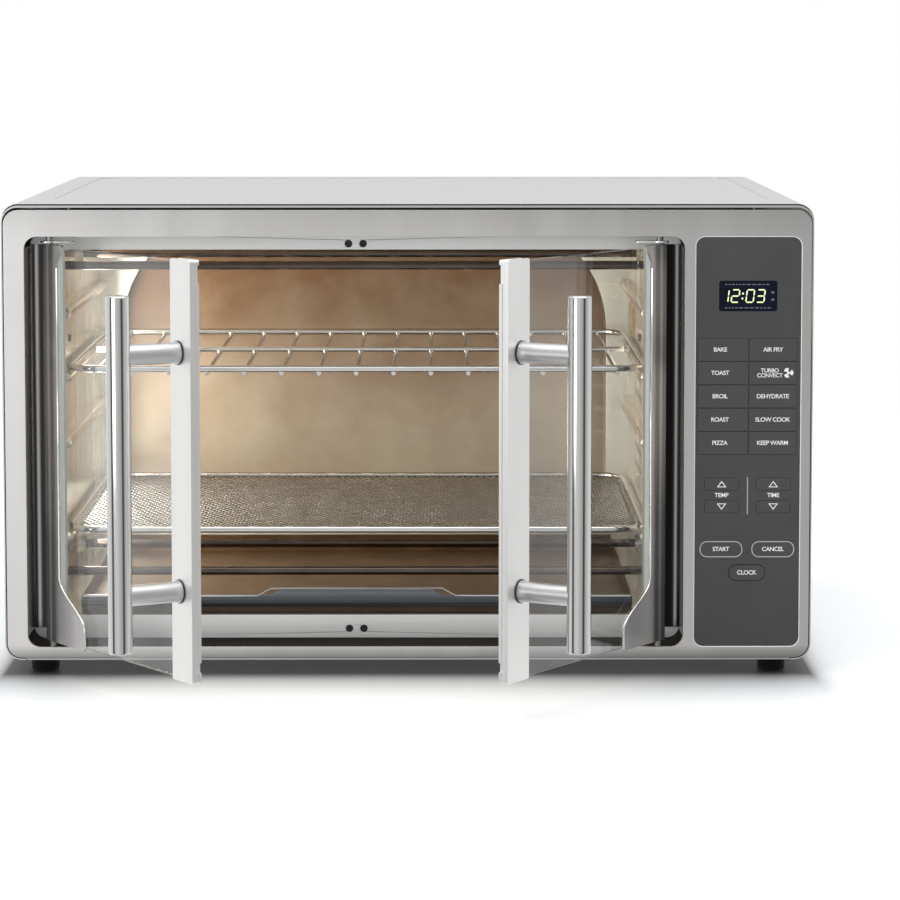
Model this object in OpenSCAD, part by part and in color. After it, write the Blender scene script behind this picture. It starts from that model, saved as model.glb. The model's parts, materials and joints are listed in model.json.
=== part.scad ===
// French-door countertop convection oven.
// Millimetres. +X to the right, +Y to the back, +Z up, standing on z = 0.
// The origin is the middle of the oven's footprint, with both doors half open.

/* [Casing] */
// Width of the casing
body_w = 576; // [560:1:600]
// Depth of the casing
body_d = 488; // [470:1:520]
// Height of the casing's underside above the table
foot_h = 10; // [8:1:14]
// Height of the roof above the table
body_top = 336; // [334:1:345]
// Corner radius of the casing seen from the front
body_r = 12; // [8:1:16]
// Thickness of the casing's sheet
sheet = 1.2; // [1:0.1:1.4]

/* [Cavity] */
// Middle of the oven cavity, measured from the middle of the casing
cavity_x = -37.6; // [-38:0.1:-36]
// Clear width of the cavity
cavity_w = 428; // [420:1:430]
// Height of the cavity's floor
cavity_low = 36; // [34:1:37]
// Height of the cavity's ceiling
cavity_high = 301.4; // [299:0.1:303]
// Where the cavity's flat back wall stands
cavity_back = 387; // [380:1:395]
// Depth of the pressed bulge in the back wall
bulge_d = 37; // [20:1:45]
// Thickness of the cavity's sheet
liner = 1; // [0.8:0.1:1.2]
// Depth from the front face to the flange that surrounds the cavity
recess_d = 42; // [38:1:46]

/* [Doors] */
// Angle that the doors stand open, from closed
door_open = 58; // [0:0.5:95]
// Height of the doors' lower edge
door_low = 24; // [22:0.5:26]
// Height of the doors' upper edge
door_high = 307.5; // [305:0.5:309]
// Thickness of the door frames
door_t = 7; // [6.5:0.5:8]
// Thickness of the door glass
glass_t = 4; // [3:0.5:4]
// Width of the polished stile on the hinge side
hinge_stile_w = 21; // [18:1:24]
// Width of the brushed stile on the opening side
latch_stile_w = 28; // [22:1:30]
// Diameter of the handle bars
bar_d = 16.3; // [14:0.1:18]
// Distance from the door's face to the middle of the handle bar
bar_out = 44.5; // [40:0.5:56]

/* [Racks] */
// Height of the middle of the upper rack's rim wire
rack_z = 214.8; // [214:0.1:216]
// Height of the middle of the lower tray's rim wire
tray_z = 97.8; // [97:0.1:99]
// Diameter of the rim wires
rim_d = 5; // [4:0.5:6]
// Number of long wires in the upper rack
rack_wires = 15; // [11:2:17]

/* [Hidden] */
$fn = 48;

// small distances
cut = 1;            // how far a cutter runs past the face that it opens
run_fit = 0.05;     // radial clearance of a pin that turns
rest_gap = 0.3;     // gap under a rack that only rests on its rails

// casing
frame_t = 1.5;
frame_gap = 1.8;
frame_drop = 4.2;     // from the roof down to the frame's upper edge
hem_d = 3.5;
hem_in = 0.3;
hem_drop = 1.1;
hem_t = 1.4;
bottom_gap_x = 273;
recess_half = cavity_w / 2 + 20;
recess_x0 = cavity_x - recess_half;
recess_x1 = cavity_x + recess_half;
recess_z0 = foot_h + 9.5;
recess_z1 = 313;
recess_r = 9;
panel_x0 = 204.6;
panel_x1 = 278.7;
panel_z0 = 20.2;
panel_z1 = 312.4;
panel_r = 6;
panel_gap = 0.8;
panel_y = 0.4;
panel_t = 3;
panel_well = 14;

// cavity
cavity_x0 = cavity_x - cavity_w / 2;
cavity_x1 = cavity_x + cavity_w / 2;
cavity_front = recess_d + sheet;
mouth_r = 7;
bulge_half = 196.5;
bulge_low = 52;
bulge_low_r = 40;
bulge_top_r = 90;
bulge_top_z = 217;
rib_r = 4;
rib_out = 8;
rib_y0 = 56;
rib_y1 = 372;
rib_zs = [254, rack_z - rim_d / 2 - rest_gap - rib_r, 160, tray_z - rim_d / 2 - rest_gap - rib_r];
heater_r = 3.2;
heater_ys = [60, 205];
heater_high = 289;
heater_low = 66;
bushing_r = 5;
catch_r = 2.75;
catch_half = 5.25;
catch_zs = [26.1, 305.7];
lamp_y = 300;
lamp_z = 233;
lamp_r = 15;
lamp_neck = 12.9;

// convection fan, in the compartment to the right of the cavity
fan_x = cavity_x1 + liner;
fan_y = 225;
fan_z = 150;
fan_cover_r = 62;
fan_cover_d = 28;
shaft_r = 3;

// doors, drawn closed around their hinge pin: +X along the door, -Y outwards
pin_r = 2.5;
pin_inset = 4;
pin_x = cavity_x - 216.3;
pin_y = 1 + door_t / 2;
door_gap = 1.5;
door_w = cavity_x - door_gap / 2 - pin_x + pin_inset;
door_free = door_w - pin_inset;
glass_in = 8;
groove_d = 1;
notch_zs = [[door_low + 7.5, door_low + 14], [door_high - 16, door_high - 3.5]];
gusset_w = 60;
gusset_z0 = 38;
gusset_z1 = 71;
bar_u = 198;
bar_v = -door_t / 2 - bar_out;
bar_z0 = 46.5;
bar_z1 = 284.6;
post_zs = [84.7, 245];
post_r = 7;
collar_r = 7.8;
collar_t = 1.6;

// door synchroniser, in the header above the recess
crank_r = 12;
door_travel = 95;
rest_turn = door_open - door_travel / 2;
crank_z = recess_z1 + sheet + 0.6;
crank_t = 2.8;
crank_half = 2.1;
link_z = crank_z + crank_t + 0.4;
link_t = 2;
crank_pin_r = 2;
slot_half = 2.5;
slot_shift = -0.15;
slot_reach0 = crank_r * cos(door_travel / 2) - crank_pin_r - 0.4;
slot_reach1 = crank_r + crank_pin_r + 0.4;
lever_y = pin_y + slot_reach0 + slot_reach1;
link_half = 5.7;

// racks
rack_half = cavity_w / 2 - 3;
rack_y0 = 46;
rack_y1 = 381;
rack_corner = 25;
wire_r = 1.6;
wire_pitch = 27;
wire_drop = 3.2;
screen_t = 1;
screen_pitch = 40;
crumb_half = 200;
crumb_y0 = 46;
crumb_y1 = 372;
crumb_rim = 50;
crumb_lip_low = 41.5;
grip_half = 62;
grip_ramp = 10;
grip_top = 55.4;

// keys: [middle x, middle z, width, height, corner radius]
key_x = [223.9, 259.3];
key_w = [35.8, 33.8];
key_h = 16.05;
key_pitch = 16.65;
key_top_z = 232.6;
arrow_w = 24;
arrow_h = 8.6;
arrow_x = [223.4, 260.2];
arrow_z = [136.6, 120.4];
key_gap = 0.15;
key_front = 0.2;
key_t = 3.4;
stem_r = 2.2;
stem_end = 9.2;
board_y = 11;
start_box = [223.2, 89.8, 30.6, 11.7, 5.4];
cancel_box = [260.2, 89.8, 30.6, 11.7, 5.4];
clock_box = [241.6, 72.9, 25.8, 11.4, 5.3];
display_box = [241.3, 270.8, 41, 21.6, 1.5];
function grid_box(column, row) = [key_x[column], key_top_z - row * key_pitch, key_w[column], key_h, 0.8];
function arrow_box(column, row) = [arrow_x[column], arrow_z[row], arrow_w, arrow_h, 1.5];
key_boxes = concat(
    [for (c = [0, 1]) for (r = [0:4]) grid_box(c, r)],
    [for (c = [0, 1]) for (r = [0, 1]) arrow_box(c, r)],
    [start_box, cancel_box, clock_box]
);

// the footprint runs from the handles' front to the casing's back
handle_reach = -pin_y + bar_u * sin(door_open) - bar_v * cos(door_open) + bar_d / 2;
y_mid = (body_d - handle_reach) / 2;

// ---------------------------------------------------------------- outlines
function arc(x, y, r, a0, a1, steps = 8) =
    [for (i = [0:steps]) let (a = a0 + (a1 - a0) * i / steps) [x + r * cos(a), y + r * sin(a)]];

function rounded(x0, x1, y0, y1, r) = concat(
    arc(x1 - r, y1 - r, r, 0, 90), arc(x0 + r, y1 - r, r, 90, 180),
    arc(x0 + r, y0 + r, r, 180, 270), arc(x1 - r, y0 + r, r, 270, 360));

function grown(box, grow) = rounded(
    box[0] - box[2] / 2 - grow, box[0] + box[2] / 2 + grow,
    box[1] - box[3] / 2 - grow, box[1] + box[3] / 2 + grow, box[4] + grow);

// the bulge's outline: round lower corners, and large upper corners that the ceiling cuts off
function bulge_outline(grow) =
    let (half = bulge_half + grow, low = bulge_low - grow, top = cavity_high - 3 + grow,
         up = asin((top - bulge_top_z) / (bulge_top_r + grow)))
    concat(
        arc(cavity_x + bulge_half - bulge_top_r, bulge_top_z, bulge_top_r + grow, 0, up),
        arc(cavity_x - bulge_half + bulge_top_r, bulge_top_z, bulge_top_r + grow, 180 - up, 180),
        arc(cavity_x - half + bulge_low_r, low + bulge_low_r, bulge_low_r, 180, 270),
        arc(cavity_x + half - bulge_low_r, low + bulge_low_r, bulge_low_r, 270, 360));

// ---------------------------------------------------------------- helpers
// moves a piece from the casing's front corner frame to the part's own origin
module place() { translate([0, -y_mid, 0]) children(); }

// an outline in X and Z, given thickness from y0 to y1
module slab(y0, y1) { translate([0, y1, 0]) rotate([90, 0, 0]) linear_extrude(y1 - y0) children(); }

module block(low, high) { translate(low) cube(high - low); }

module rod_x(x0, x1, y, z, r) { translate([x0, y, z]) rotate([0, 90, 0]) cylinder(h = x1 - x0, r = r); }

module rod_y(x, y0, y1, z, r) { translate([x, y1, z]) rotate([90, 0, 0]) cylinder(h = y1 - y0, r = r); }

module rod_z(x, y, z0, z1, r) { translate([x, y, z0]) cylinder(h = z1 - z0, r = r); }

module slots_y(x, y0, z0, length, height, count, pitch, depth) {
    for (i = [0:count - 1])
        block([x, y0, z0 + i * pitch], [x + depth, y0 + length, z0 + i * pitch + height]);
}

// stands a door piece at its rest angle on the left, and its mirror image on the right
module on_door(side) {
    if (side == "left")
        translate([pin_x, pin_y, 0]) rotate([0, 0, -door_open]) children();
    else
        translate([2 * cavity_x - pin_x, pin_y, 0]) rotate([0, 0, door_open]) mirror([1, 0, 0]) children();
}

// ---------------------------------------------------------------- casing
module outer_shell() {
    half = body_w / 2;
    color([0.80, 0.79, 0.78]) place() difference() {
        union() {
            slab(hem_d, body_d) polygon(rounded(-half, half, foot_h, body_top, body_r));
            // hem round the front edge, a step lower than the sheet
            slab(0, hem_d + sheet)
                polygon(rounded(-half + hem_in, half - hem_in, foot_h + hem_in, body_top - hem_drop,
                                body_r - hem_in));
        }
        slab(-cut, hem_d + 2 * sheet)
            polygon(rounded(-half + sheet, half - sheet, foot_h + sheet, body_top - hem_drop - hem_t,
                            body_r - sheet));
        slab(hem_d + sheet, body_d + cut)
            polygon(rounded(-half + sheet, half - sheet, foot_h + sheet, body_top - sheet, body_r - sheet));
        block([-bottom_gap_x, -cut, foot_h - cut], [bottom_gap_x, body_d + cut, foot_h + 2 * sheet]);
        // shallow pressed field in the roof
        translate([0, 0, body_top - 0.5]) linear_extrude(cut)
            polygon(rounded(-half + 30, half - 26, 70, body_d - 18, 14));
        // cooling slots in the right side
        slots_y(half - 3 * sheet, 300, 60, 120, 3, 12, 9, 6 * sheet);
        // cooling slots in the left side
        slots_y(-half - 3 * sheet, 300, 60, 120, 3, 12, 9, 6 * sheet);
    }
}

module tube(y0, y1, x0, x1, z0, z1, r, t) {
    difference() {
        slab(y0, y1) polygon(rounded(x0 - t, x1 + t, z0 - t, z1 + t, r + t));
        slab(y0 - cut, y1 + cut) polygon(rounded(x0, x1, z0, z1, r));
    }
}

module front_frame() {
    half = body_w / 2 - frame_gap;
    well = panel_gap;
    color([0.78, 0.77, 0.75]) place() difference() {
        union() {
            slab(0, frame_t)
                polygon(rounded(-half, half, foot_h + frame_gap, body_top - frame_drop, body_r - frame_gap));
            slab(0, recess_d)
                polygon(rounded(recess_x0 - sheet, recess_x1 + sheet, recess_z0 - sheet, recess_z1 + sheet,
                                recess_r + sheet));
            slab(0, panel_well)
                polygon(rounded(panel_x0 - well - sheet, panel_x1 + well + sheet,
                                panel_z0 - well - sheet, panel_z1 + well + sheet, panel_r + well + sheet));
        }
        slab(-cut, recess_d + cut) polygon(rounded(recess_x0, recess_x1, recess_z0, recess_z1, recess_r));
        slab(-cut, panel_well + cut)
            polygon(rounded(panel_x0 - well, panel_x1 + well, panel_z0 - well, panel_z1 + well, panel_r + well));
        // hinge pin holes through the recess floor and ceiling
        for (x = [pin_x, 2 * cavity_x - pin_x])
            rod_z(x, pin_y, recess_z0 - 2 * sheet, recess_z1 + 2 * sheet, pin_r + run_fit);
        // pivot hole of the centre lever
        rod_z(cavity_x, lever_y, recess_z1 - cut, recess_z1 + 2 * sheet, pin_r + run_fit);
    }
}

module base_pan() {
    half = bottom_gap_x - 0.4;
    color([0.55, 0.55, 0.55]) place() difference() {
        union() {
            block([-half, 2, foot_h], [half, body_d - 4, foot_h + sheet]);
            for (s = [-1, 1])
                block([s * (half - sheet / 2) - sheet / 2, 2, foot_h],
                      [s * (half - sheet / 2) + sheet / 2, body_d - 4, foot_h + 8]);
        }
        for (x = [-261, 261], y = [19, 460]) rod_z(x, y, foot_h - cut, foot_h + 3, 3.1);
        for (i = [0:11]) block([cavity_x - 120 + i * 20, 180, foot_h - cut],
                               [cavity_x - 114 + i * 20, 300, foot_h + 3]);
    }
}

module rear_panel() {
    half = body_w / 2 - sheet - 0.3;
    color([0.5, 0.5, 0.5]) place() difference() {
        slab(body_d - 2.5, body_d - 2.5 + sheet)
            polygon(rounded(-half, half, foot_h + sheet + 0.3, body_top - sheet - 0.3, body_r - sheet - 0.3));
        for (row = [0:11], side = [0, 1])
            block([-230 + side * 260, body_d - 6, 225 + row * 7], [-30 + side * 260, body_d, 228 + row * 7]);
        rod_y(240, body_d - 6, body_d, 50, 7.1);
        for (p = screw_places()) rod_y(p[0], body_d - 6, body_d, p[1], 1.6);
    }
}

function screw_places() = [for (x = [-272, 0, 272], z = [26, 322]) [x, z]];

module feet() {
    color([0.08, 0.08, 0.08]) place() for (x = [-261, 261], y = [19, 460]) translate([x, y, 0]) {
        rotate_extrude() polygon([[0, 0], [9, 0], [10, 1.5], [10, foot_h], [3, foot_h], [3, foot_h + 3.5],
                                  [0, foot_h + 3.5]]);
    }
}

module cord_gland() {
    color([0.1, 0.1, 0.1]) place() translate([240, body_d - 2.5, 50]) rotate([-90, 0, 0]) difference() {
        union() {
            translate([0, 0, -8]) cylinder(h = 8 + sheet, r = 7);
            translate([0, 0, -4]) cylinder(h = 4, r = 10);
            translate([0, 0, sheet]) cylinder(h = 2.5 - sheet, r = 10);
        }
        translate([0, 0, -9]) cylinder(h = 14, r = 4);
    }
}

module shell_screws() {
    color([0.6, 0.6, 0.6]) place() for (p = screw_places()) {
        rod_y(p[0], body_d - 9, body_d - 2.5 + sheet, p[1], 1.5);
        rod_y(p[0], body_d - 2.5 + sheet, body_d, p[1], 3.5);
    }
}

// ---------------------------------------------------------------- cavity
module front_flange() {
    color([0.86, 0.86, 0.86]) place() difference() {
        slab(recess_d, recess_d + sheet)
            polygon(rounded(recess_x0 - sheet, recess_x1 + sheet, recess_z0 - sheet, recess_z1 + sheet,
                            recess_r + sheet));
        slab(recess_d - cut, recess_d + sheet + cut)
            polygon(rounded(cavity_x0, cavity_x1, cavity_low, cavity_high, mouth_r));
        for (s = [-1, 1], z = catch_zs)
            rod_y(cavity_x + s * catch_half, recess_d - cut, recess_d + 3, z, catch_r);
    }
}

module catch_plungers() {
    color([0.05, 0.05, 0.05]) place() for (s = [-1, 1], z = catch_zs)
        rod_y(cavity_x + s * catch_half, recess_d + 0.6, recess_d + 9, z, catch_r - 0.1);
}

module cavity_floor() {
    color([0.75, 0.72, 0.66]) place()
        block([cavity_x0, cavity_front, cavity_low - liner], [cavity_x1, cavity_back, cavity_low]);
}

module cavity_ceiling() {
    color([0.75, 0.72, 0.66]) place()
        block([cavity_x0, cavity_front, cavity_high], [cavity_x1, cavity_back, cavity_high + liner]);
}

// one side wall: side is -1 on the left and 1 on the right
module side_wall(side) {
    wall_x = cavity_x + side * cavity_w / 2;
    outer_x = wall_x + side * liner;
    block([min(wall_x, outer_x), cavity_front, cavity_low - liner],
          [max(wall_x, outer_x), cavity_back, cavity_high + liner]);
    for (z = rib_zs) {
        mid = wall_x - side * (rib_out - rib_r);
        rod_y(mid, rib_y0, rib_y1, z, rib_r);
        for (y = [rib_y0, rib_y1]) translate([mid, y, z]) sphere(r = rib_r);
        block([min(mid, wall_x), rib_y0, z - rib_r], [max(mid, wall_x), rib_y1, z + rib_r]);
    }
}

module heater_holes(x) {
    for (y = heater_ys, z = [heater_low, heater_high]) rod_x(x - 3, x + 3, y, z, bushing_r + 0.1);
}

module cavity_left_wall() {
    color([0.72, 0.66, 0.56]) place() difference() {
        side_wall(-1);
        heater_holes(cavity_x0);
    }
}

module cavity_right_wall() {
    color([0.85, 0.82, 0.74]) place() difference() {
        side_wall(1);
        heater_holes(cavity_x1);
        rod_x(cavity_x1 - cut, cavity_x1 + 3, lamp_y, lamp_z, lamp_neck + 0.1);
        // air holes of the convection fan, left out where the rack rails run
        for (i = [-3:3], j = [-3:3])
            if (norm([i, j]) < 3.7 && min([for (z = rib_zs) abs(fan_z + j * 14 - z)]) > rib_r + 4)
                rod_x(cavity_x1 - 1, cavity_x1 + 3, fan_y + i * 14, fan_z + j * 14, 3.5);
    }
}

module cavity_back_wall() {
    color([0.68, 0.6, 0.48]) place() {
        difference() {
            block([cavity_x0 - liner, cavity_back, cavity_low - liner],
                  [cavity_x1 + liner, cavity_back + liner, cavity_high + liner]);
            slab(cavity_back - cut, cavity_back + liner + cut) polygon(bulge_outline(0));
        }
        difference() {
            slab(cavity_back, cavity_back + bulge_d + liner) polygon(bulge_outline(liner));
            slab(cavity_back - cut, cavity_back + bulge_d) polygon(bulge_outline(0));
        }
    }
}

module heater_pair(z) {
    for (y = heater_ys) {
        rod_x(cavity_x0 - 12, cavity_x1 + 12, y, z, heater_r);
        rod_x(cavity_x0 - 16, cavity_x1 + 16, y, z, 1.6);
    }
}

module heater_rods() {
    color([0.35, 0.33, 0.31]) place() for (z = [heater_low, heater_high]) heater_pair(z);
}

module heater_bushings() {
    color([0.85, 0.84, 0.8]) place() for (side = [-1, 1], y = heater_ys, z = [heater_low, heater_high])
        translate([cavity_x + side * cavity_w / 2, y, z]) rotate([0, side * 90, 0]) difference() {
            union() {
                translate([0, 0, -2.1]) cylinder(h = 10, r = bushing_r);
                translate([0, 0, -3.6]) cylinder(h = 3.5, r = 6.4);
            }
            translate([0, 0, -5]) cylinder(h = 16, r = heater_r + 0.1);
        }
}

module lamp_lens() {
    color([0.95, 0.93, 0.85, 0.5]) place() translate([cavity_x1, lamp_y, lamp_z]) rotate([0, 90, 0])
        rotate_extrude() polygon(concat(
            [[lamp_r, -0.1], [lamp_neck, -0.1], [lamp_neck, 5], [lamp_neck - 2, 5], [lamp_neck - 2, 0]],
            [[0, -2], [0, -4], [lamp_r - 4, -3.6], [lamp_r - 1, -2.4]]));
}

module lamp_bulb() {
    color([0.95, 0.9, 0.7]) place() {
        rod_x(cavity_x1 + 18, cavity_x1 + 42, lamp_y, lamp_z, 11);
        rod_x(cavity_x1 + 8, cavity_x1 + 18, lamp_y, lamp_z, 7);
        translate([cavity_x1 + 8, lamp_y, lamp_z]) sphere(r = 7);
    }
}

// ---------------------------------------------------------------- convection fan
module fan_cover() {
    color([0.6, 0.6, 0.6]) place() difference() {
        rod_x(fan_x, fan_x + fan_cover_d, fan_y, fan_z, fan_cover_r);
        rod_x(fan_x - cut, fan_x + fan_cover_d - liner, fan_y, fan_z, fan_cover_r - liner);
        rod_x(fan_x, fan_x + fan_cover_d + cut, fan_y, fan_z, shaft_r + 1);
    }
}

module fan_motor() {
    color([0.4, 0.4, 0.4]) place() difference() {
        union() {
            rod_x(fan_x + 36, fan_x + 70, fan_y, fan_z, 28);
            for (a = [30:120:270]) translate([fan_x + fan_cover_d, fan_y + 22 * cos(a), fan_z + 22 * sin(a)])
                rotate([0, 90, 0]) cylinder(h = 9, r = 3);
        }
        rod_x(fan_x + 30, fan_x + 80, fan_y, fan_z, shaft_r + run_fit);
    }
}

// a hub with flat pitched blades, turning about X
module rotor(x, width, radius, blades, pitch) {
    translate([x, fan_y, fan_z]) rotate([0, 90, 0]) difference() {
        union() {
            cylinder(h = width, r = 9);
            for (i = [0:blades - 1]) rotate([0, 0, i * 360 / blades])
                translate([7, 0, width / 2]) rotate([pitch, 0, 0]) translate([0, -10, -0.6])
                    cube([radius - 7, 20, 1.2]);
        }
        translate([0, 0, -20]) cylinder(h = width + 40, r = shaft_r + 0.02);
    }
}

module fan_blade() { color([0.7, 0.7, 0.7]) place() rotor(fan_x + 7, 14, 52, 6, 38); }

module cooling_fan() { color([0.5, 0.5, 0.5]) place() rotor(fan_x + 76, 14, 40, 6, 38); }

module motor_shaft() { color([0.8, 0.8, 0.8]) place() rod_x(fan_x + 4, fan_x + 94, fan_y, fan_z, shaft_r); }

// ---------------------------------------------------------------- control panel
module control_panel() {
    color([0.30, 0.30, 0.29]) place() difference() {
        slab(panel_y, panel_y + panel_t) polygon(rounded(panel_x0, panel_x1, panel_z0, panel_z1, panel_r));
        for (box = key_boxes) slab(panel_y - cut, panel_y + panel_t + cut) polygon(grown(box, key_gap));
        slab(panel_y - cut, panel_y + panel_t + cut) polygon(grown(display_box, 0.1));
    }
}

module display_window() {
    color([0.05, 0.06, 0.15]) place() slab(panel_y + 0.2, panel_y + panel_t) polygon(grown(display_box, 0));
}

module control_board() {
    color([0.1, 0.35, 0.2]) place() {
        block([208, board_y, 56], [275.5, board_y + 1.6, 296]);
        for (box = key_boxes)
            block([box[0] - 3, board_y - 1, box[1] - 3], [box[0] + 3, board_y, box[1] + 3]);
        block([display_box[0] - 22, panel_y + panel_t + 0.6, display_box[1] - 12],
              [display_box[0] + 22, board_y, display_box[1] + 12]);
    }
}

module key(box) {
    color([0.31, 0.31, 0.30]) place() {
        slab(key_front, key_front + key_t) polygon(grown(box, 0));
        rod_y(box[0], key_front + key_t, stem_end, box[1], stem_r);
    }
}

// ---------------------------------------------------------------- racks
// a closed wire loop in a horizontal plane, with round corners
module wire_loop(x0, x1, y0, y1, z, r, corner) {
    inner = corner - r;
    for (y = [y0 + r, y1 - r]) rod_x(x0 + corner, x1 - corner, y, z, r);
    for (x = [x0 + r, x1 - r]) rod_y(x, y0 + corner, y1 - corner, z, r);
    for (c = [[x1 - corner, y1 - corner, 0], [x0 + corner, y1 - corner, 90],
              [x0 + corner, y0 + corner, 180], [x1 - corner, y0 + corner, 270]])
        translate([c[0], c[1], z]) rotate([0, 0, c[2]]) rotate_extrude(angle = 90)
            translate([inner, 0]) circle(r = r);
}

module wire_rack() {
    x0 = cavity_x - rack_half;
    x1 = cavity_x + rack_half;
    color([0.8, 0.8, 0.8]) place() {
        wire_loop(x0, x1, rack_y0, rack_y1, rack_z, rim_d / 2, rack_corner);
        for (i = [0:rack_wires - 1])
            rod_y(cavity_x + (i - (rack_wires - 1) / 2) * wire_pitch, rack_y0 + 1, rack_y1 - 1,
                  rack_z - wire_drop, wire_r);
        rod_x(x0 + 2, x1 - 2, (rack_y0 + rack_y1) / 2, rack_z, 2);
    }
}

module tray_frame() {
    color([0.8, 0.8, 0.8]) place()
        wire_loop(cavity_x - rack_half, cavity_x + rack_half, rack_y0, rack_y1, tray_z, rim_d / 2, rack_corner);
}

// flat screen inside the tray's rim, open between its bars
module tray_screen() {
    half_x = rack_half - rim_d - 0.1;
    y0 = rack_y0 + rim_d + 0.1;
    y1 = rack_y1 - rim_d - 0.1;
    outline = rounded(cavity_x - half_x, cavity_x + half_x, y0, y1, rack_corner - rim_d);
    columns = floor((2 * half_x - 14) / screen_pitch);
    rows = floor((y1 - y0 - 14) / screen_pitch);
    windows = [for (i = [0:columns - 1], j = [0:rows - 1])
        let (x = cavity_x + (i - (columns - 1) / 2) * screen_pitch,
             y = (y0 + y1) / 2 + (j - (rows - 1) / 2) * screen_pitch, h = screen_pitch / 2 - 2)
        [[x - h, y - h], [x - h, y + h], [x + h, y + h], [x + h, y - h]]];
    outer_n = len(outline);
    color([0.75, 0.75, 0.75]) place() translate([0, 0, tray_z - screen_t / 2]) linear_extrude(screen_t)
        polygon(points = concat(outline, [for (w = windows) each w]),
                paths = concat([[for (i = [0:outer_n - 1]) i]],
                               [for (k = [0:len(windows) - 1]) [for (i = [0:3]) outer_n + 4 * k + i]]));
}

module crumb_tray() {
    x0 = cavity_x - crumb_half;
    x1 = cavity_x + crumb_half;
    low = cavity_low + rest_gap;
    color([0.55, 0.6, 0.65]) place() {
        difference() {
            block([x0, crumb_y0 + 4, low], [x1, crumb_y1, crumb_rim]);
            block([x0 + liner, crumb_y0 + 4 + liner, low + liner], [x1 - liner, crumb_y1 - liner, crumb_rim + 3]);
        }
        // front lip, raised in the middle as a grip
        slab(crumb_y0, crumb_y0 + 1.5) polygon([
            [x0, crumb_lip_low], [x1, crumb_lip_low], [x1, crumb_rim],
            [cavity_x + grip_half, crumb_rim], [cavity_x + grip_half - grip_ramp, grip_top],
            [cavity_x - grip_half + grip_ramp, grip_top], [cavity_x - grip_half, crumb_rim],
            [x0, crumb_rim]]);
        block([x0, crumb_y0, crumb_rim - 1.5], [x1, crumb_y0 + 4 + liner, crumb_rim]);
    }
}

// ---------------------------------------------------------------- doors
// stile on the hinge side: a plate with a flared foot, its two pins and the crank on the upper pin
function gusset_curve(steps = 10) = [for (i = [0:steps])
    [hinge_stile_w - pin_inset + (gusset_w - hinge_stile_w) * (1 + cos(180 * i / steps)) / 2,
     gusset_z0 + (gusset_z1 - gusset_z0) * i / steps]];

module hinge_stile(side) {
    crank_a = 90 + door_travel / 2;
    color([0.6, 0.59, 0.57]) place() on_door(side) {
        difference() {
            slab(-door_t / 2, door_t / 2) polygon(concat(
                [[-pin_inset, door_low], [gusset_w - pin_inset, door_low]], gusset_curve(),
                [[hinge_stile_w - pin_inset, door_high - 12], [hinge_stile_w - pin_inset + 6, door_high - 5],
                 [hinge_stile_w - pin_inset + 6, door_high], [-pin_inset, door_high]]));
            block([glass_in - 0.1, -glass_t / 2 - 0.1, door_low - cut],
                  [gusset_w, glass_t / 2 + 0.1, door_high + cut]);
            block([hinge_stile_w - pin_inset, 0, door_low - cut], [gusset_w, door_t, door_high + cut]);
        }
        rod_z(0, 0, recess_z0 - 2, door_low + 1, pin_r);
        rod_z(0, 0, door_high - 1, crank_z + crank_t, pin_r);
        rotate([0, 0, crank_a]) translate([0, -crank_half, crank_z]) cube([crank_r, 2 * crank_half, crank_t]);
        translate([crank_r * cos(crank_a), crank_r * sin(crank_a), crank_z]) {
            cylinder(h = crank_t, r = pin_r);
            cylinder(h = crank_t + 0.4 + link_t + 0.6, r = crank_pin_r);
        }
    }
}

module latch_stile(side) {
    color([0.88, 0.88, 0.88]) place() on_door(side) difference() {
        slab(-door_t / 2, door_t / 2)
            polygon(rounded(door_free - latch_stile_w, door_free, door_low, door_high, 2));
        block([door_free - latch_stile_w - cut, -glass_t / 2 - 0.1, door_low - cut],
              [door_free - glass_in + 0.1, glass_t / 2 + 0.1, door_high + cut]);
        // groove down the end face, and the notches where the catch plates sit
        block([door_free - groove_d, 0.2, door_low + 3], [door_free + cut, 1.4, door_high - 3]);
        for (z = notch_zs)
            block([door_free - 2 * groove_d, 1, z[0]], [door_free + cut, door_t, z[1]]);
    }
}

module door_glass(side) {
    color([0.8, 0.85, 0.85, 0.35]) place() on_door(side)
        block([glass_in, -glass_t / 2, door_low + 1.5], [door_free - glass_in, glass_t / 2, door_high - 1.5]);
}

module handle_bar(side) {
    color([0.8, 0.8, 0.8]) place() on_door(side) translate([bar_u, bar_v, 0]) rotate_extrude()
        polygon([[0, bar_z0], [bar_d / 2 - 0.8, bar_z0], [bar_d / 2, bar_z0 + 0.8],
                 [bar_d / 2, bar_z1 - 0.8], [bar_d / 2 - 0.8, bar_z1], [0, bar_z1]]);
}

module handle_posts(side) {
    color([0.7, 0.7, 0.7]) place() on_door(side) difference() {
        for (z = post_zs) {
            rod_y(bar_u, bar_v, -door_t / 2, z, post_r);
            rod_y(bar_u, -door_t / 2 - collar_t, -door_t / 2, z, collar_r);
        }
        rod_z(bar_u, bar_v, bar_z0, bar_z1, bar_d / 2 + 0.05);
    }
}

// ---------------------------------------------------------------- door synchroniser
// the slot for a crank pin: side is the way the pin has turned from the pivot, ahead is 1 behind the pivot
module slot_cut(x, y, side, ahead = 1) {
    mid = x + side * (crank_r * sin(rest_turn) + slot_shift);
    near = y + ahead * slot_reach0;
    far = y + ahead * slot_reach1;
    block([mid - slot_half, min(near, far), link_z - cut],
          [mid + slot_half, max(near, far), link_z + link_t + cut]);
}

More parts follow.
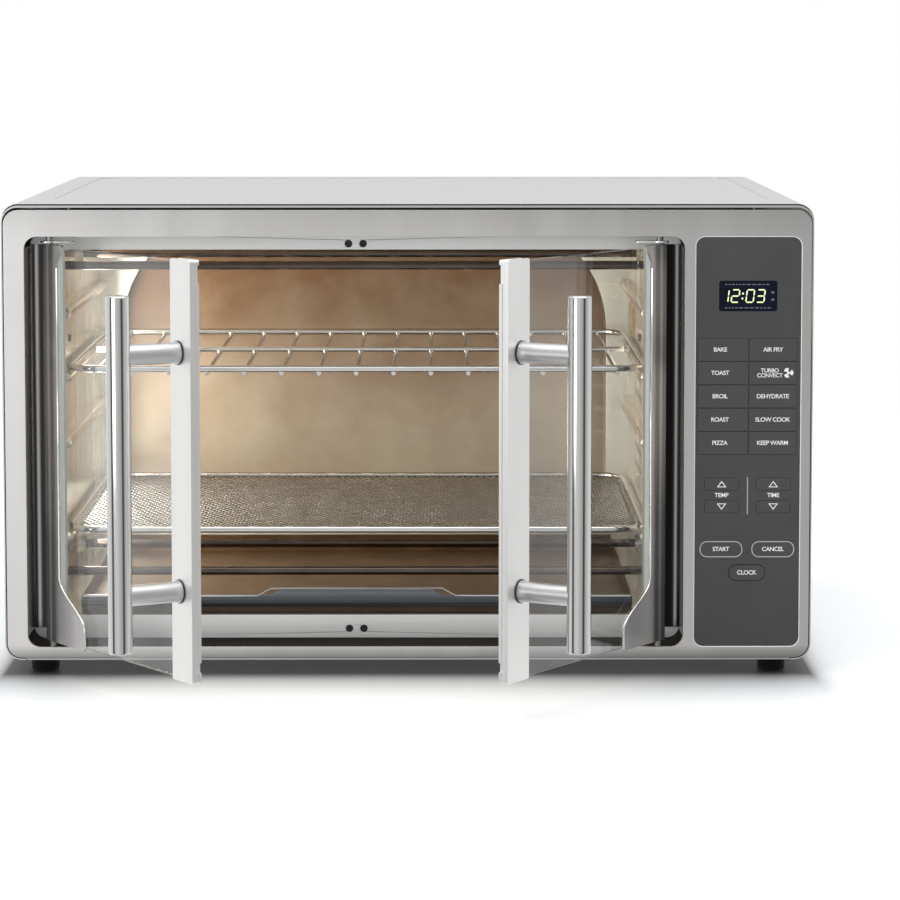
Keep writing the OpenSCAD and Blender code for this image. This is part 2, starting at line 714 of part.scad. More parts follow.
module left_link_bar() {
    mid_y = pin_y + (slot_reach0 + slot_reach1) / 2;
    far_y = lever_y + (slot_reach0 + slot_reach1) / 2;
    jog = cavity_x - 40;
    color([0.55, 0.55, 0.6]) place() difference() {
        union() {
            block([pin_x - 6, mid_y - link_half, link_z], [jog, mid_y + link_half, link_z + link_t]);
            block([jog - 10, mid_y - link_half, link_z], [jog, far_y + link_half, link_z + link_t]);
            block([jog - 10, far_y - link_half, link_z], [cavity_x + 10, far_y + link_half, link_z + link_t]);
        }
        slot_cut(pin_x, pin_y, 1);
        slot_cut(cavity_x, lever_y, 1);
    }
}

module right_link_bar() {
    mid_y = pin_y + (slot_reach0 + slot_reach1) / 2;
    right_x = 2 * cavity_x - pin_x;
    color([0.55, 0.55, 0.6]) place() difference() {
        block([cavity_x - 10, mid_y - link_half, link_z], [right_x + 6, mid_y + link_half, link_z + link_t]);
        slot_cut(right_x, pin_y, -1);
        slot_cut(cavity_x, lever_y, -1, -1);
    }
}

module sync_lever() {
    color([0.5, 0.5, 0.55]) place() translate([cavity_x, lever_y, 0]) rotate([0, 0, -rest_turn]) {
        rod_z(0, 0, recess_z1 - 0.4, crank_z + crank_t, pin_r);
        translate([0, 0, crank_z]) cylinder(h = crank_t, r = 5);
        translate([-crank_half, -crank_r, crank_z]) cube([2 * crank_half, 2 * crank_r, crank_t]);
        for (s = [-1, 1]) translate([0, s * crank_r, crank_z]) {
            cylinder(h = crank_t, r = pin_r);
            cylinder(h = crank_t + 0.4 + link_t + 0.6, r = crank_pin_r);
        }
    }
}

// ---------------------------------------------------------------- keys
module bake_key() { key(grid_box(0, 0)); }
module toast_key() { key(grid_box(0, 1)); }
module broil_key() { key(grid_box(0, 2)); }
module roast_key() { key(grid_box(0, 3)); }
module pizza_key() { key(grid_box(0, 4)); }
module air_fry_key() { key(grid_box(1, 0)); }
module convect_key() { key(grid_box(1, 1)); }
module dehydrate_key() { key(grid_box(1, 2)); }
module slow_cook_key() { key(grid_box(1, 3)); }
module keep_warm_key() { key(grid_box(1, 4)); }
module temp_up_key() { key(arrow_box(0, 0)); }
module temp_down_key() { key(arrow_box(0, 1)); }
module time_up_key() { key(arrow_box(1, 0)); }
module time_down_key() { key(arrow_box(1, 1)); }
module start_key() { key(start_box); }
module cancel_key() { key(cancel_box); }
module clock_key() { key(clock_box); }

// ---------------------------------------------------------------- door pieces by side
module left_hinge_stile() { hinge_stile("left"); }
module left_latch_stile() { latch_stile("left"); }
module left_door_glass() { door_glass("left"); }
module left_handle_bar() { handle_bar("left"); }
module left_handle_posts() { handle_posts("left"); }
module right_hinge_stile() { hinge_stile("right"); }
module right_latch_stile() { latch_stile("right"); }
module right_door_glass() { door_glass("right"); }
module right_handle_bar() { handle_bar("right"); }
module right_handle_posts() { handle_posts("right"); }

outer_shell();
front_frame();
base_pan();
rear_panel();
feet();
cord_gland();
shell_screws();
front_flange();
cavity_floor();
cavity_ceiling();
cavity_left_wall();
cavity_right_wall();
cavity_back_wall();
heater_rods();
heater_bushings();
catch_plungers();
lamp_lens();
lamp_bulb();
fan_cover();
fan_motor();
fan_blade();
motor_shaft();
cooling_fan();
control_panel();
display_window();
control_board();
bake_key();
toast_key();
broil_key();
roast_key();
pizza_key();
air_fry_key();
convect_key();
dehydrate_key();
slow_cook_key();
keep_warm_key();
temp_up_key();
temp_down_key();
time_up_key();
time_down_key();
start_key();
cancel_key();
clock_key();
wire_rack();
tray_frame();
tray_screen();
crumb_tray();
left_hinge_stile();
left_latch_stile();
left_door_glass();
left_handle_bar();
left_handle_posts();
right_hinge_stile();
right_latch_stile();
right_door_glass();
right_handle_bar();
right_handle_posts();
left_link_bar();
right_link_bar();
sync_lever();
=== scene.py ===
import json
import math
import random

import bpy
from mathutils import Matrix, Vector

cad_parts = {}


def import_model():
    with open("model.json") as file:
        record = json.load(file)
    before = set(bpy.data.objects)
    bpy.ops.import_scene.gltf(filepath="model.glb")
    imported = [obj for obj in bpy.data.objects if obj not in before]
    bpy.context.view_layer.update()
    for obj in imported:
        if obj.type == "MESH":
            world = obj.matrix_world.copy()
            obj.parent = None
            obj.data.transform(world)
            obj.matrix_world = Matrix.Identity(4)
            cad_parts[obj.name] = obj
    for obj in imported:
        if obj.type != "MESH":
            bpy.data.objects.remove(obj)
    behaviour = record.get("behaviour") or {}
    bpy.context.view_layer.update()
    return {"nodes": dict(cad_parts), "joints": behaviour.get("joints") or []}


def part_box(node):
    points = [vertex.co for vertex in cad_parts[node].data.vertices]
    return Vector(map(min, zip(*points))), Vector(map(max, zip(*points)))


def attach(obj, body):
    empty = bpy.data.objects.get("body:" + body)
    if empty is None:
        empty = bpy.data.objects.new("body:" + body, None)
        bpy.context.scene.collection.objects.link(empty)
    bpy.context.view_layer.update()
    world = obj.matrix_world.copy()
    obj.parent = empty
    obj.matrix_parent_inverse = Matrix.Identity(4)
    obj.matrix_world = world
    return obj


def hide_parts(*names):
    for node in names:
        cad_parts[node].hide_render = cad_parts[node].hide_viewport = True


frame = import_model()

MM = 0.001
scene = bpy.context.scene
NODES = frame["nodes"]
JOINTS = {j["name"]: j for j in frame["joints"]}
SIDES = ("left", "right")

# ------------------------------------------------------------------ places taken from the frame
SHELL_LOW, SHELL_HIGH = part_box("outer_shell")
FRAME_LOW, FRAME_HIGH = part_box("front_frame")
RECESS_LOW, RECESS_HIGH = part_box("front_flange")
FLOOR_LOW, FLOOR_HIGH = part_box("cavity_floor")
CEILING_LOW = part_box("cavity_ceiling")[0]
BACK_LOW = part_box("cavity_back_wall")[0]
PANEL_LOW, PANEL_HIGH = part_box("control_panel")
TRAY_LOW, TRAY_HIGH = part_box("crumb_tray")
FRONT_Y = FRAME_LOW.y
CAVITY_LOW = Vector((FLOOR_LOW.x, FLOOR_LOW.y, FLOOR_HIGH.z))
CAVITY_HIGH = Vector((FLOOR_HIGH.x, FLOOR_HIGH.y, CEILING_LOW.z))

# the camera stands where the photograph's perspective puts it, level with a tall person's waist
CAMERA_X = 17 * MM
CAMERA_DISTANCE = 2640 * MM
CAMERA_HEIGHT = 460 * MM
CAMERA_LENS = 149.4
CAMERA_SHIFT = -0.06
CAMERA_PITCH = math.radians(5.63)
CAMERA_YAW = math.radians(0.28)


# ------------------------------------------------------------------ node helpers
def add_node(tree, kind, inputs=None, **settings):
    """Adds a node. Each input is a value, or another node's output to link from."""
    node = tree.nodes.new(kind)
    for name, value in settings.items():
        setattr(node, name, value)
    for name, value in (inputs or {}).items():
        if isinstance(value, bpy.types.NodeSocket):
            tree.links.new(value, node.inputs[name])
        else:
            node.inputs[name].default_value = value
    return node


class Shader:
    """A material with one Principled shader, and short calls that add nodes to it."""

    def __init__(self, name, color=(0.8, 0.8, 0.8), metallic=0.0, roughness=0.5, **sockets):
        self.material = bpy.data.materials.new(name)
        self.material.use_nodes = True
        self.tree = self.material.node_tree
        self.bsdf = self.tree.nodes["Principled BSDF"]
        self.bsdf.inputs["Base Color"].default_value = (*color, 1)
        self.bsdf.inputs["Metallic"].default_value = metallic
        self.bsdf.inputs["Roughness"].default_value = roughness
        for socket, value in sockets.items():
            self.bsdf.inputs[socket.replace("_", " ")].default_value = value
        self.place = self.tree.nodes.new("ShaderNodeTexCoord").outputs["Object"]

    def add(self, kind, inputs=None, **settings):
        return add_node(self.tree, kind, inputs, **settings)

    def math(self, a, b=0.0, operation="ADD", **settings):
        return self.add("ShaderNodeMath", {0: a, 1: b}, operation=operation, **settings).outputs[0]

    def ramp(self, value, low, high, start=0.0, end=1.0):
        """Maps low to high onto start to end, and holds the ends."""
        return self.add("ShaderNodeMapRange", {"Value": value, "From Min": low, "From Max": high,
                                               "To Min": start, "To Max": end}).outputs[0]

    def axes(self):
        return self.add("ShaderNodeSeparateXYZ", {"Vector": self.place}).outputs

    def mix(self, fac, a, b):
        return self.add("ShaderNodeMix", {"Factor": fac, "A": a, "B": b}, data_type="RGBA").outputs[2]

    def noise(self, stretch, detail=3.0, roughness=0.6, offset=(0, 0, 0)):
        """Noise whose features are 1 / stretch metres long on each axis."""
        mapped = self.add("ShaderNodeMapping", {"Vector": self.place, "Scale": stretch, "Location": offset})
        return self.add("ShaderNodeTexNoise", {"Vector": mapped.outputs[0], "Scale": 1.0,
                                               "Detail": detail, "Roughness": roughness}).outputs["Fac"]

    def span(self, value, low, high):
        """Maps 0.25 to 0.75, where noise lies, to low to high."""
        return self.ramp(value, 0.25, 0.75, low, high)

    def tint(self, fac, dark, light):
        return self.mix(fac, (*dark, 1), (*light, 1))

    def drive(self, name, socket):
        self.tree.links.new(socket, self.bsdf.inputs[name])

    def color(self, socket):
        self.drive("Base Color", socket)

    def rough(self, socket):
        self.drive("Roughness", socket)

    def bump(self, height, distance, strength=0.5):
        node = self.add("ShaderNodeBump", {"Height": height, "Distance": distance, "Strength": strength})
        self.drive("Normal", node.outputs["Normal"])


def tinted(color, factor):
    return tuple(c * factor for c in color)


GRAIN = {"x": (7, 1300, 1300), "y": (1300, 7, 1300), "z": (1300, 1300, 7)}
BROAD = {"x": (2.2, 90, 90), "y": (90, 2.2, 90), "z": (90, 90, 2.2)}


def brushed(name, color, roughness, axis, contrast=0.07, bump=0.000012, metallic=1.0):
    """Brushed steel: fine scratches along one axis, broad bands, and faint smudges."""
    s = Shader(name, color, metallic=metallic, roughness=roughness)
    grain = s.noise(GRAIN[axis], detail=2.0)
    bands = s.noise(BROAD[axis], detail=2.0, offset=(3.1, 1.7, 0.4))
    smudge = s.noise((14, 14, 14), detail=4.0, offset=(0.2, 5.1, 2.2))
    mixed = s.math(s.span(grain, 0, 0.6), s.span(bands, 0, 0.4))
    s.color(s.tint(mixed, tinted(color, 1 - contrast), tinted(color, 1 + contrast)))
    s.rough(s.math(s.span(grain, roughness - 0.05, roughness + 0.04), s.span(smudge, -0.008, 0.014)))
    s.bump(grain, bump, 0.35)
    return s.material


# Depths and heights over which the front frame's painted shade fades in: the recess, the foot and the top.
RECESS_SHADE = (1.2 * MM, 3.0 * MM)
FOOT_SHADE_H = 9 * MM
CROWN_SHADE_H = 20 * MM


def frame_steel():
    """The front frame: light in front; painted shade makes it greyer at the right, the top and the foot and
    dark in the recess, and painted reflections cross it in soft vertical bands.
    """
    s = Shader("frame_steel", (0.6, 0.6, 0.6), metallic=1.0, roughness=0.27)
    grain = s.noise(GRAIN["x"], detail=2.0)
    bands = s.noise((2.6, 60, 60), detail=2.0, offset=(1.1, 2.7, 0.9))
    at = s.axes()
    # Painted shade: dark in the recess, greyer towards the right, the foot and the top.
    painted_recess_shade = s.ramp(at["Y"], *(FRONT_Y + d for d in RECESS_SHADE))
    right = s.ramp(at["X"], FRAME_LOW.x, FRAME_HIGH.x, 1.0, 0.66)
    foot = s.ramp(at["Z"], FRAME_LOW.z, FRAME_LOW.z + FOOT_SHADE_H, 0.36)
    painted_crown_shade = s.ramp(at["Z"], FRAME_HIGH.z - CROWN_SHADE_H, FRAME_HIGH.z, 1.0, 0.84)
    # Painted reflection: soft vertical bands across the frame.
    painted_sheen = s.span(s.noise((24, 1, 1.5), detail=2.0, offset=(0.7, 0, 0)), 0.88, 1.06)
    shade = s.math(right, foot, "MULTIPLY")
    for part in (painted_crown_shade, painted_sheen):
        shade = s.math(shade, part, "MULTIPLY")
    mixed = s.math(s.span(grain, 0, 0.5), s.span(bands, 0, 0.5))
    bare = s.tint(mixed, (0.80, 0.79, 0.775), (0.85, 0.84, 0.825))
    front = s.mix(shade, (0.05, 0.048, 0.046, 1), bare)
    # The painted shade colour inside the recess.
    inner = s.tint(mixed, (0.012, 0.011, 0.010), (0.040, 0.037, 0.035))
    s.color(s.mix(painted_recess_shade, front, inner))
    bright = s.math(1.0, painted_recess_shade, "SUBTRACT")
    s.drive("Metallic", bright)
    s.drive("Specular IOR Level", s.ramp(bright, 0.0, 1.0, 0.0, 0.5))
    s.rough(s.span(grain, 0.29, 0.33))
    s.bump(grain, 0.000008, 0.25)
    return s.material


def polished(name, color, roughness, dirt=0.05):
    """Bright steel or chrome with soft smudges and a slight wave."""
    s = Shader(name, color, metallic=1.0, roughness=roughness)
    smudge = s.noise((60, 60, 60), detail=5.0)
    s.color(s.tint(s.span(smudge, 0, 1), tinted(color, 1 - dirt), tinted(color, 1 + dirt / 2)))
    s.rough(s.span(smudge, roughness * 0.7, roughness * 1.5))
    s.bump(s.noise((25, 25, 25), detail=1.0), 0.00004, 0.25)
    return s.material


def cavity_steel(name, color, warm, metallic, roughness, warm_from, warm_to, rim=None):
    """Liner steel, browner towards the roof, where heat has tinted it. rim is (depth, colour) of the part
    in front of the bulge."""
    s = Shader(name, color, metallic=metallic, roughness=roughness)
    at = s.axes()
    cloud = s.noise((9, 9, 9), detail=5.0)
    amount = s.math(s.ramp(at["Z"], warm_from, warm_to), s.span(cloud, -0.35, 0.35), use_clamp=True)
    steel = s.tint(amount, color, warm)
    if rim:
        steel = s.mix(s.ramp(at["Y"], rim[0], rim[0] + 6 * MM), (*rim[1], 1), steel)
    s.color(steel)
    s.rough(s.span(s.noise((40, 40, 40), detail=3.0), roughness - 0.04, roughness + 0.04))
    s.bump(s.noise((14, 14, 14), detail=2.0), 0.0008, 0.15)
    return s.material


def plastic(name, color, roughness, grain=1800, bump=0.00003, mottle=0.08, **sockets):
    """Moulded plastic or rubber with a fine spark-eroded texture."""
    s = Shader(name, color, roughness=roughness, **sockets)
    fine = s.noise((grain, grain, grain), detail=2.0)
    broad = s.noise((22, 22, 22), detail=4.0)
    s.color(s.tint(s.span(broad, 0, 1), tinted(color, 1 - mottle), tinted(color, 1 + mottle)))
    s.rough(s.span(fine, roughness - 0.05, roughness + 0.05))
    s.bump(fine, bump, 0.3)
    return s.material


def clear_glass(name, tint, mirror, roughness=0.02):
    """Thin clear glass: it lets light straight through and mirrors more at a slant, with faint smudges."""
    s = Shader(name)
    s.tree.nodes.remove(s.bsdf)
    out = s.tree.nodes["Material Output"]
    through = s.add("ShaderNodeBsdfTransparent", {"Color": (*tint, 1)})
    gloss = s.add("ShaderNodeBsdfGlossy", {"Color": (1, 1, 1, 1), "Roughness": roughness})
    slant = s.add("ShaderNodeLayerWeight", {"Blend": 0.5}).outputs["Facing"]
    schlick = s.ramp(s.math(slant, 5.0, "POWER"), 0.0, 1.0, 0.045)
    smudge = s.noise((16, 16, 9), detail=5.0)
    amount = s.math(schlick, s.span(smudge, mirror * 0.7, mirror * 1.2), "MULTIPLY", use_clamp=True)
    mix = s.add("ShaderNodeMixShader", {0: amount, 1: through.outputs[0], 2: gloss.outputs[0]})
    s.tree.links.new(mix.outputs[0], out.inputs["Surface"])
    return s.material


def drawer_steel():
    """The crumb tray: a blue-grey lip that painted shade darkens to black along its foot, and a pan that
    baking has browned.
    """
    s = Shader("drawer_steel", (0.2, 0.2, 0.2), metallic=0.7, roughness=0.34)
    at = s.axes()
    back = s.ramp(at["Y"], TRAY_LOW.y + 3 * MM, TRAY_LOW.y + 6 * MM)
    # Painted shade: the lip darkens towards its foot, with random streaks mixed in.
    rise = s.ramp(at["Z"], TRAY_HIGH.z - 13 * MM, TRAY_HIGH.z - 4 * MM)
    cloud = s.span(s.noise((30, 30, 30), detail=5.0), 0, 1)
    lip_shade_and_streaks = s.math(rise, s.span(s.noise((3, 900, 900), detail=2.0), -0.2, 0.2), use_clamp=True)
    lip = s.tint(lip_shade_and_streaks, (0.012, 0.011, 0.010), (0.16, 0.18, 0.195))
    pan = s.tint(cloud, (0.10, 0.055, 0.025), (0.19, 0.12, 0.065))
    s.color(s.mix(back, lip, pan))
    s.rough(s.span(s.noise((25, 700, 700)), 0.28, 0.42))
    s.bump(s.noise((25, 25, 25), detail=2.0), 0.0004, 0.2)
    return s.material


def streaks(shader, value, start, way, stops):
    """Soft vertical streaks of painted reflection: (millimetres from start, brightness) pairs along value,
    joined smoothly.
    """
    reach = stops[-1][0] * MM
    node = shader.add("ShaderNodeValToRGB", {0: shader.ramp(value, start, start + way * reach)})
    node.color_ramp.interpolation = "EASE"
    fill_ramp(node, [(at * MM / reach, (level, level * 0.975, level * 0.965)) for at, level in stops])
    return node.outputs[0]


def fill_ramp(node, stops):
    elements = node.color_ramp.elements
    while len(elements) < len(stops):
        elements.new(0.5)
    for element, (position, _) in zip(elements, stops):
        element.position = position
    for element, (_, color) in zip(elements, stops):
        element.color = (*color, 1)


# Painted reflections down the hinge stiles.
STILE_REFLECTIONS = [(0, 0.05), (4, 0.09), (8, 0.30), (11, 0.08), (15, 0.12), (18, 0.36), (22, 0.42)]


def stile_steel(side):
    """The polished hinge stile: painted reflections as vertical streaks beside the pin, lighter on the plate
    and its foot.
    """
    s = Shader(side + "_stile_steel", (0.5, 0.5, 0.5), metallic=0.6, roughness=0.2)
    joint = JOINTS[side + "_door_hinge"]
    angle = math.radians(-joint["range_deg"][0])
    way = Vector((math.cos(angle) * (1 if side == "left" else -1), -math.sin(angle), 0))
    along = s.add("ShaderNodeVectorMath", {0: s.place, 1: tuple(way)}, operation="DOT_PRODUCT")
    start = way.x * joint["pos_m"][0] + way.y * joint["pos_m"][1]
    steel = streaks(s, along.outputs["Value"], start - 4 * MM, 1, STILE_REFLECTIONS)
    grain = s.noise((900, 900, 6), detail=2.0)
    s.color(s.mix(s.span(grain, 0.0, 0.16), steel, (0.9, 0.9, 0.88, 1)))
    s.rough(s.span(grain, 0.19, 0.26))
    s.bump(grain, 0.00001, 0.3)
    return s.material


# Painted reflections and shade on the strips behind the hinges.
CHANNEL_REFLECTIONS = {
    "left": [(0, 0.35), (0.9, 0.06), (1.8, 0.28), (3.7, 0.015), (5.7, 0.50), (8.0, 0.05), (11, 0.035),
             (19, 0.08)],
    "right": [(0, 0.30), (1.0, 0.14), (2.6, 0.08), (4.4, 0.38), (6.0, 0.03), (7.5, 0.010), (14, 0.010),
              (19, 0.02)]}


def channel_steel(side):
    """The polished strip behind a hinge: dark painted shade with soft vertical streaks of painted reflection.
    """
    s = Shader(side + "_channel_steel", (0.1, 0.1, 0.1), metallic=1.0, roughness=0.2)
    start, way = (RECESS_LOW.x, 1) if side == "left" else (RECESS_HIGH.x, -1)
    s.color(streaks(s, s.axes()["X"], start, way, CHANNEL_REFLECTIONS[side]))
    s.rough(s.span(s.noise((40, 40, 3)), 0.16, 0.25))
    s.bump(s.noise((420, 60, 1.5), detail=2.0), 0.00002, 0.3)
    return s.material


def glowing(name, color, strength):
    """Ink with a painted glow, or a lit segment: a pale body that also glows, slightly uneven."""
    s = Shader(name, tinted(color, 0.5), roughness=0.5)
    s.bsdf.inputs["Emission Strength"].default_value = strength
    cloud = s.noise((300, 300, 300), detail=2.0)
    s.drive("Emission Color", s.tint(s.span(cloud, 0, 1), tinted(color, 0.94), color))
    return s.material


# ------------------------------------------------------------------ materials
SHELL = brushed("shell_steel", (0.58, 0.575, 0.57), 0.36, "x", contrast=0.04)
FRAME = frame_steel()
FLANGE = brushed("flange_steel", (0.88, 0.87, 0.86), 0.42, "x", contrast=0.03, metallic=0.7)
PLAIN = brushed("plain_steel", (0.50, 0.50, 0.49), 0.42, "x")
TRIM = brushed("brushed_trim", (0.88, 0.88, 0.87), 0.42, "z", contrast=0.03)
POST = brushed("post_steel", (0.66, 0.66, 0.66), 0.36, "y", contrast=0.03)
HANDLE = brushed("handle_steel", (0.64, 0.64, 0.63), 0.14, "z", contrast=0.06)
STILES = {side: stile_steel(side) for side in SIDES}
SEAL = plastic("glazing_tape", (0.50, 0.51, 0.49), 0.5)
CHROME = polished("chrome_wire", (0.74, 0.74, 0.73), 0.14)
MESH = polished("mesh_steel", (0.37, 0.365, 0.35), 0.42)
FAN = polished("fan_aluminium", (0.72, 0.72, 0.72), 0.42)
WALL = cavity_steel("cavity_side_steel", (0.82, 0.79, 0.72), (0.66, 0.58, 0.47), 0.6, 0.22,
                    CAVITY_LOW.z, CAVITY_HIGH.z)
BACK = cavity_steel("cavity_back_steel", (0.47, 0.405, 0.315), (0.19, 0.108, 0.056), 0.6, 0.34,
                    CAVITY_LOW.z + 0.04, CAVITY_HIGH.z - 0.03, rim=(BACK_LOW.y + 3 * MM, (0.86, 0.86, 0.81)))
SHEATH = polished("heater_sheath", (0.13, 0.105, 0.09), 0.17, dirt=0.25)
COATING = drawer_steel()
GLASS = clear_glass("door_glass", (0.955, 0.965, 0.96), 1.0)
LENS = clear_glass("lamp_glass", (0.93, 0.88, 0.78), 1.6, roughness=0.25)
PANEL = plastic("panel_plastic", (0.052, 0.052, 0.052), 0.42)
KEY = plastic("key_plastic", (0.055, 0.055, 0.054), 0.40)
DISPLAY = plastic("display_plastic", (0.004, 0.005, 0.016), 0.14, grain=300, bump=0.000004,
                  Specular_IOR_Level=0.12)
BOARD = plastic("board", (0.04, 0.16, 0.08), 0.45)
CHANNELS = {side: channel_steel(side) for side in SIDES}
BLACK = plastic("black_plastic", (0.012, 0.012, 0.012), 0.45)
RUBBER = plastic("black_rubber", (0.006, 0.006, 0.006), 0.7, grain=1100, Specular_IOR_Level=0.1)
# The printed inks glow though no lamp is in them: painted light.
INK = glowing("ink", (0.80, 0.80, 0.79), 0.55)
FAINT_INK = glowing("faint_ink", (0.46, 0.46, 0.45), 0.38)
LINE_INK = glowing("line_ink", (0.012, 0.012, 0.012), 0.1)
SEGMENT = glowing("segment", (0.80, 0.88, 0.48), 0.95)
ICON = glowing("icon", (0.13, 0.15, 0.20), 0.38)
# Pale plastic for rolled steel edges: a painted highlight.
EDGE_HIGHLIGHT = plastic("rolled_edge", (0.80, 0.80, 0.79), 0.35, mottle=0.04)
LAMP = glowing("lamp_glow", (1.0, 0.86, 0.62), 2.0)

NODE_MATERIALS = {
    SHELL: ["outer_shell"],
    FRAME: ["front_frame"],
    FLANGE: ["front_flange"],
    PLAIN: ["base_pan", "rear_panel", "fan_cover", "fan_motor", "left_link_bar", "right_link_bar",
            "sync_lever"],
    RUBBER: ["feet"],
    BLACK: ["cord_gland", "catch_plungers"],
    CHROME: ["shell_screws", "heater_bushings", "motor_shaft", "wire_rack", "tray_frame"],
    WALL: ["cavity_floor", "cavity_ceiling", "cavity_left_wall", "cavity_right_wall"],
    BACK: ["cavity_back_wall"],
    SHEATH: ["heater_rods"],
    LENS: ["lamp_lens"],
    LAMP: ["lamp_bulb"],
    FAN: ["fan_blade", "cooling_fan"],
    PANEL: ["control_panel"],
    DISPLAY: ["display_window"],
    BOARD: ["control_board"],
    KEY: [n for n in NODES if n.endswith("_key")],
    COATING: ["crumb_tray"],
    STILES["left"]: ["left_hinge_stile"],
    STILES["right"]: ["right_hinge_stile"],
    TRIM: ["left_latch_stile", "right_latch_stile"],
    GLASS: ["left_door_glass", "right_door_glass"],
    HANDLE: ["left_handle_bar", "right_handle_bar"],
    POST: ["left_handle_posts", "right_handle_posts"],
}


# ------------------------------------------------------------------ mesh helpers
def new_group(name):
    group = bpy.data.node_groups.new(name, "GeometryNodeTree")
    for way in ("INPUT", "OUTPUT"):
        group.interface.new_socket("Geometry", in_out=way, socket_type="NodeSocketGeometry")
    return group, add_node(group, "NodeGroupInput"), add_node(group, "NodeGroupOutput")


def smooth_group(angle):
    """Geometry nodes that join split corners and shade every edge flatter than angle as round."""
    group, start, end = new_group("smooth_by_angle")
    bare = add_node(group, "GeometryNodeRemoveAttribute", {"Name": "custom_normal"})
    merge = add_node(group, "GeometryNodeMergeByDistance", {"Distance": 0.000002})
    faces = add_node(group, "GeometryNodeSetShadeSmooth")
    bend = add_node(group, "GeometryNodeInputMeshEdgeAngle")
    flat = add_node(group, "FunctionNodeCompare", {"A": bend.outputs["Unsigned Angle"], "B": angle},
                    operation="LESS_THAN")
    edges = add_node(group, "GeometryNodeSetShadeSmooth", {"Shade Smooth": flat.outputs["Result"]},
                     domain="EDGE")
    chain = [start, bare, merge, faces, edges, end]
    for a, b in zip(chain, chain[1:]):
        group.links.new(a.outputs[0], b.inputs[0])
    return group


SMOOTH = smooth_group(math.radians(32))


def rim_group():
    """Geometry nodes that mark the edges lying in the casing's front face, for a wider roll."""
    group, start, end = new_group("front_rim")
    spot = add_node(group, "GeometryNodeInputPosition")
    split = add_node(group, "ShaderNodeSeparateXYZ", {0: spot.outputs[0]})
    front = add_node(group, "FunctionNodeCompare", {"A": split.outputs["Y"], "B": FRONT_Y + 0.05 * MM},
                     operation="LESS_THAN")
    bend = add_node(group, "GeometryNodeInputMeshEdgeAngle")
    sharp = add_node(group, "FunctionNodeCompare", {"A": bend.outputs["Unsigned Angle"], "B": 1.0},
                     operation="GREATER_THAN")
    both = add_node(group, "FunctionNodeBooleanMath",
                    {0: front.outputs["Result"], 1: sharp.outputs["Result"]}, operation="AND")
    store = add_node(group, "GeometryNodeStoreNamedAttribute",
                     {"Name": "bevel_weight_edge", "Value": both.outputs[0], "Geometry": start.outputs[0]},
                     data_type="FLOAT", domain="EDGE")
    group.links.new(store.outputs[0], end.inputs[0])
    return group


def finish_edges(obj, width):
    """Rounds an object's sharp edges a little, so that they catch the light."""
    modifier = obj.modifiers.new("smooth", "NODES")
    modifier.node_group = SMOOTH
    if width:
        bevel = obj.modifiers.new("bevel", "BEVEL")
        bevel.width = width
        bevel.segments = 2
        bevel.limit_method = "ANGLE"
        bevel.angle_limit = math.radians(40)
        bevel.harden_normals = True


def add_mesh(name, verts, faces, material, slot, body, matrix=None, smooth=False):
    mesh = bpy.data.meshes.new(name)
    mesh.from_pydata([tuple(v) for v in verts], [], faces)
    if matrix is not None:
        mesh.transform(matrix)
        if matrix.determinant() < 0:
            mesh.flip_normals()
    mesh.materials.append(material)
    for polygon in mesh.polygons:
        polygon.use_smooth = smooth
    obj = bpy.data.objects.new(name, mesh)
    scene.collection.objects.link(obj)
    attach(obj, body)
    return obj


def join_parts(parts):
    """Joins lists of (verts, faces) into one."""
    verts, faces = [], []
    for part_verts, part_faces in parts:
        base = len(verts)
        verts += part_verts
        faces += [tuple(base + i for i in f) for f in part_faces]
    return verts, faces


def prism(outline, y0, y1):
    """An outline in X and Z given thickness along Y."""
    n = len(outline)
    verts = [(x, y0, z) for x, z in outline] + [(x, y1, z) for x, z in outline]
    faces = [tuple(range(n)), tuple(range(2 * n - 1, n - 1, -1))]
    faces += [(i, i + n, (i + 1) % n + n, (i + 1) % n) for i in range(n)]
    return verts, faces


def box_part(low, high):
    (x0, y0, z0), (x1, y1, z1) = low, high
    return prism([(x0, z0), (x1, z0), (x1, z1), (x0, z1)], y0, y1)


def upright(outline, z0, z1, flip=False):
    """An outline in X and Y given height along Z. flip is for an outline that runs clockwise."""
    n = len(outline)
    verts = [(x, y, z) for z in (z0, z1) for x, y in outline]
    faces = [tuple(range(n - 1, -1, -1)), tuple(range(n, 2 * n))]
    faces += [(i, (i + 1) % n, n + (i + 1) % n, n + i) for i in range(n)]
    return verts, [face[::-1] for face in faces] if flip else faces


def rounded_outline(x0, x1, z0, z1, r, steps=8):
    points = []
    middles = ((x1 - r, z1 - r), (x0 + r, z1 - r), (x0 + r, z0 + r), (x1 - r, z0 + r))
    for quarter, (cx, cz) in enumerate(middles):
        for i in range(steps + 1):
            a = math.radians(90 * quarter + 90 * i / steps)
            points.append((cx + r * math.cos(a), cz + r * math.sin(a)))
    return points


def ring_prism(outer, inner, y0, y1):
    """A band between two outlines with equally many points, from y0 to y1."""
    n = len(outer)
    verts = [(x, y, z) for y in (y0, y1) for loop in (outer, inner) for x, z in loop]
    faces = []
    for i in range(n):
        j = (i + 1) % n
        faces += [(i, j, n + j, n + i), (2 * n + i, 3 * n + i, 3 * n + j, 2 * n + j),
                  (i, 2 * n + i, 2 * n + j, j), (n + i, n + j, 3 * n + j, 3 * n + i)]
    return verts, faces


def lathe(profile, steps=48):
    """A profile of (radius, height) turned about Z. It starts and ends on the axis or closes on itself."""
    verts, faces = [], []
    n = len(profile)
    for s in range(steps):
        a = 2 * math.pi * s / steps
        verts += [(r * math.cos(a), r * math.sin(a), z) for r, z in profile]
    for s in range(steps):
        t = (s + 1) % steps
        faces += [(s * n + i, t * n + i, t * n + i + 1, s * n + i + 1) for i in range(n - 1)]
    return verts, faces


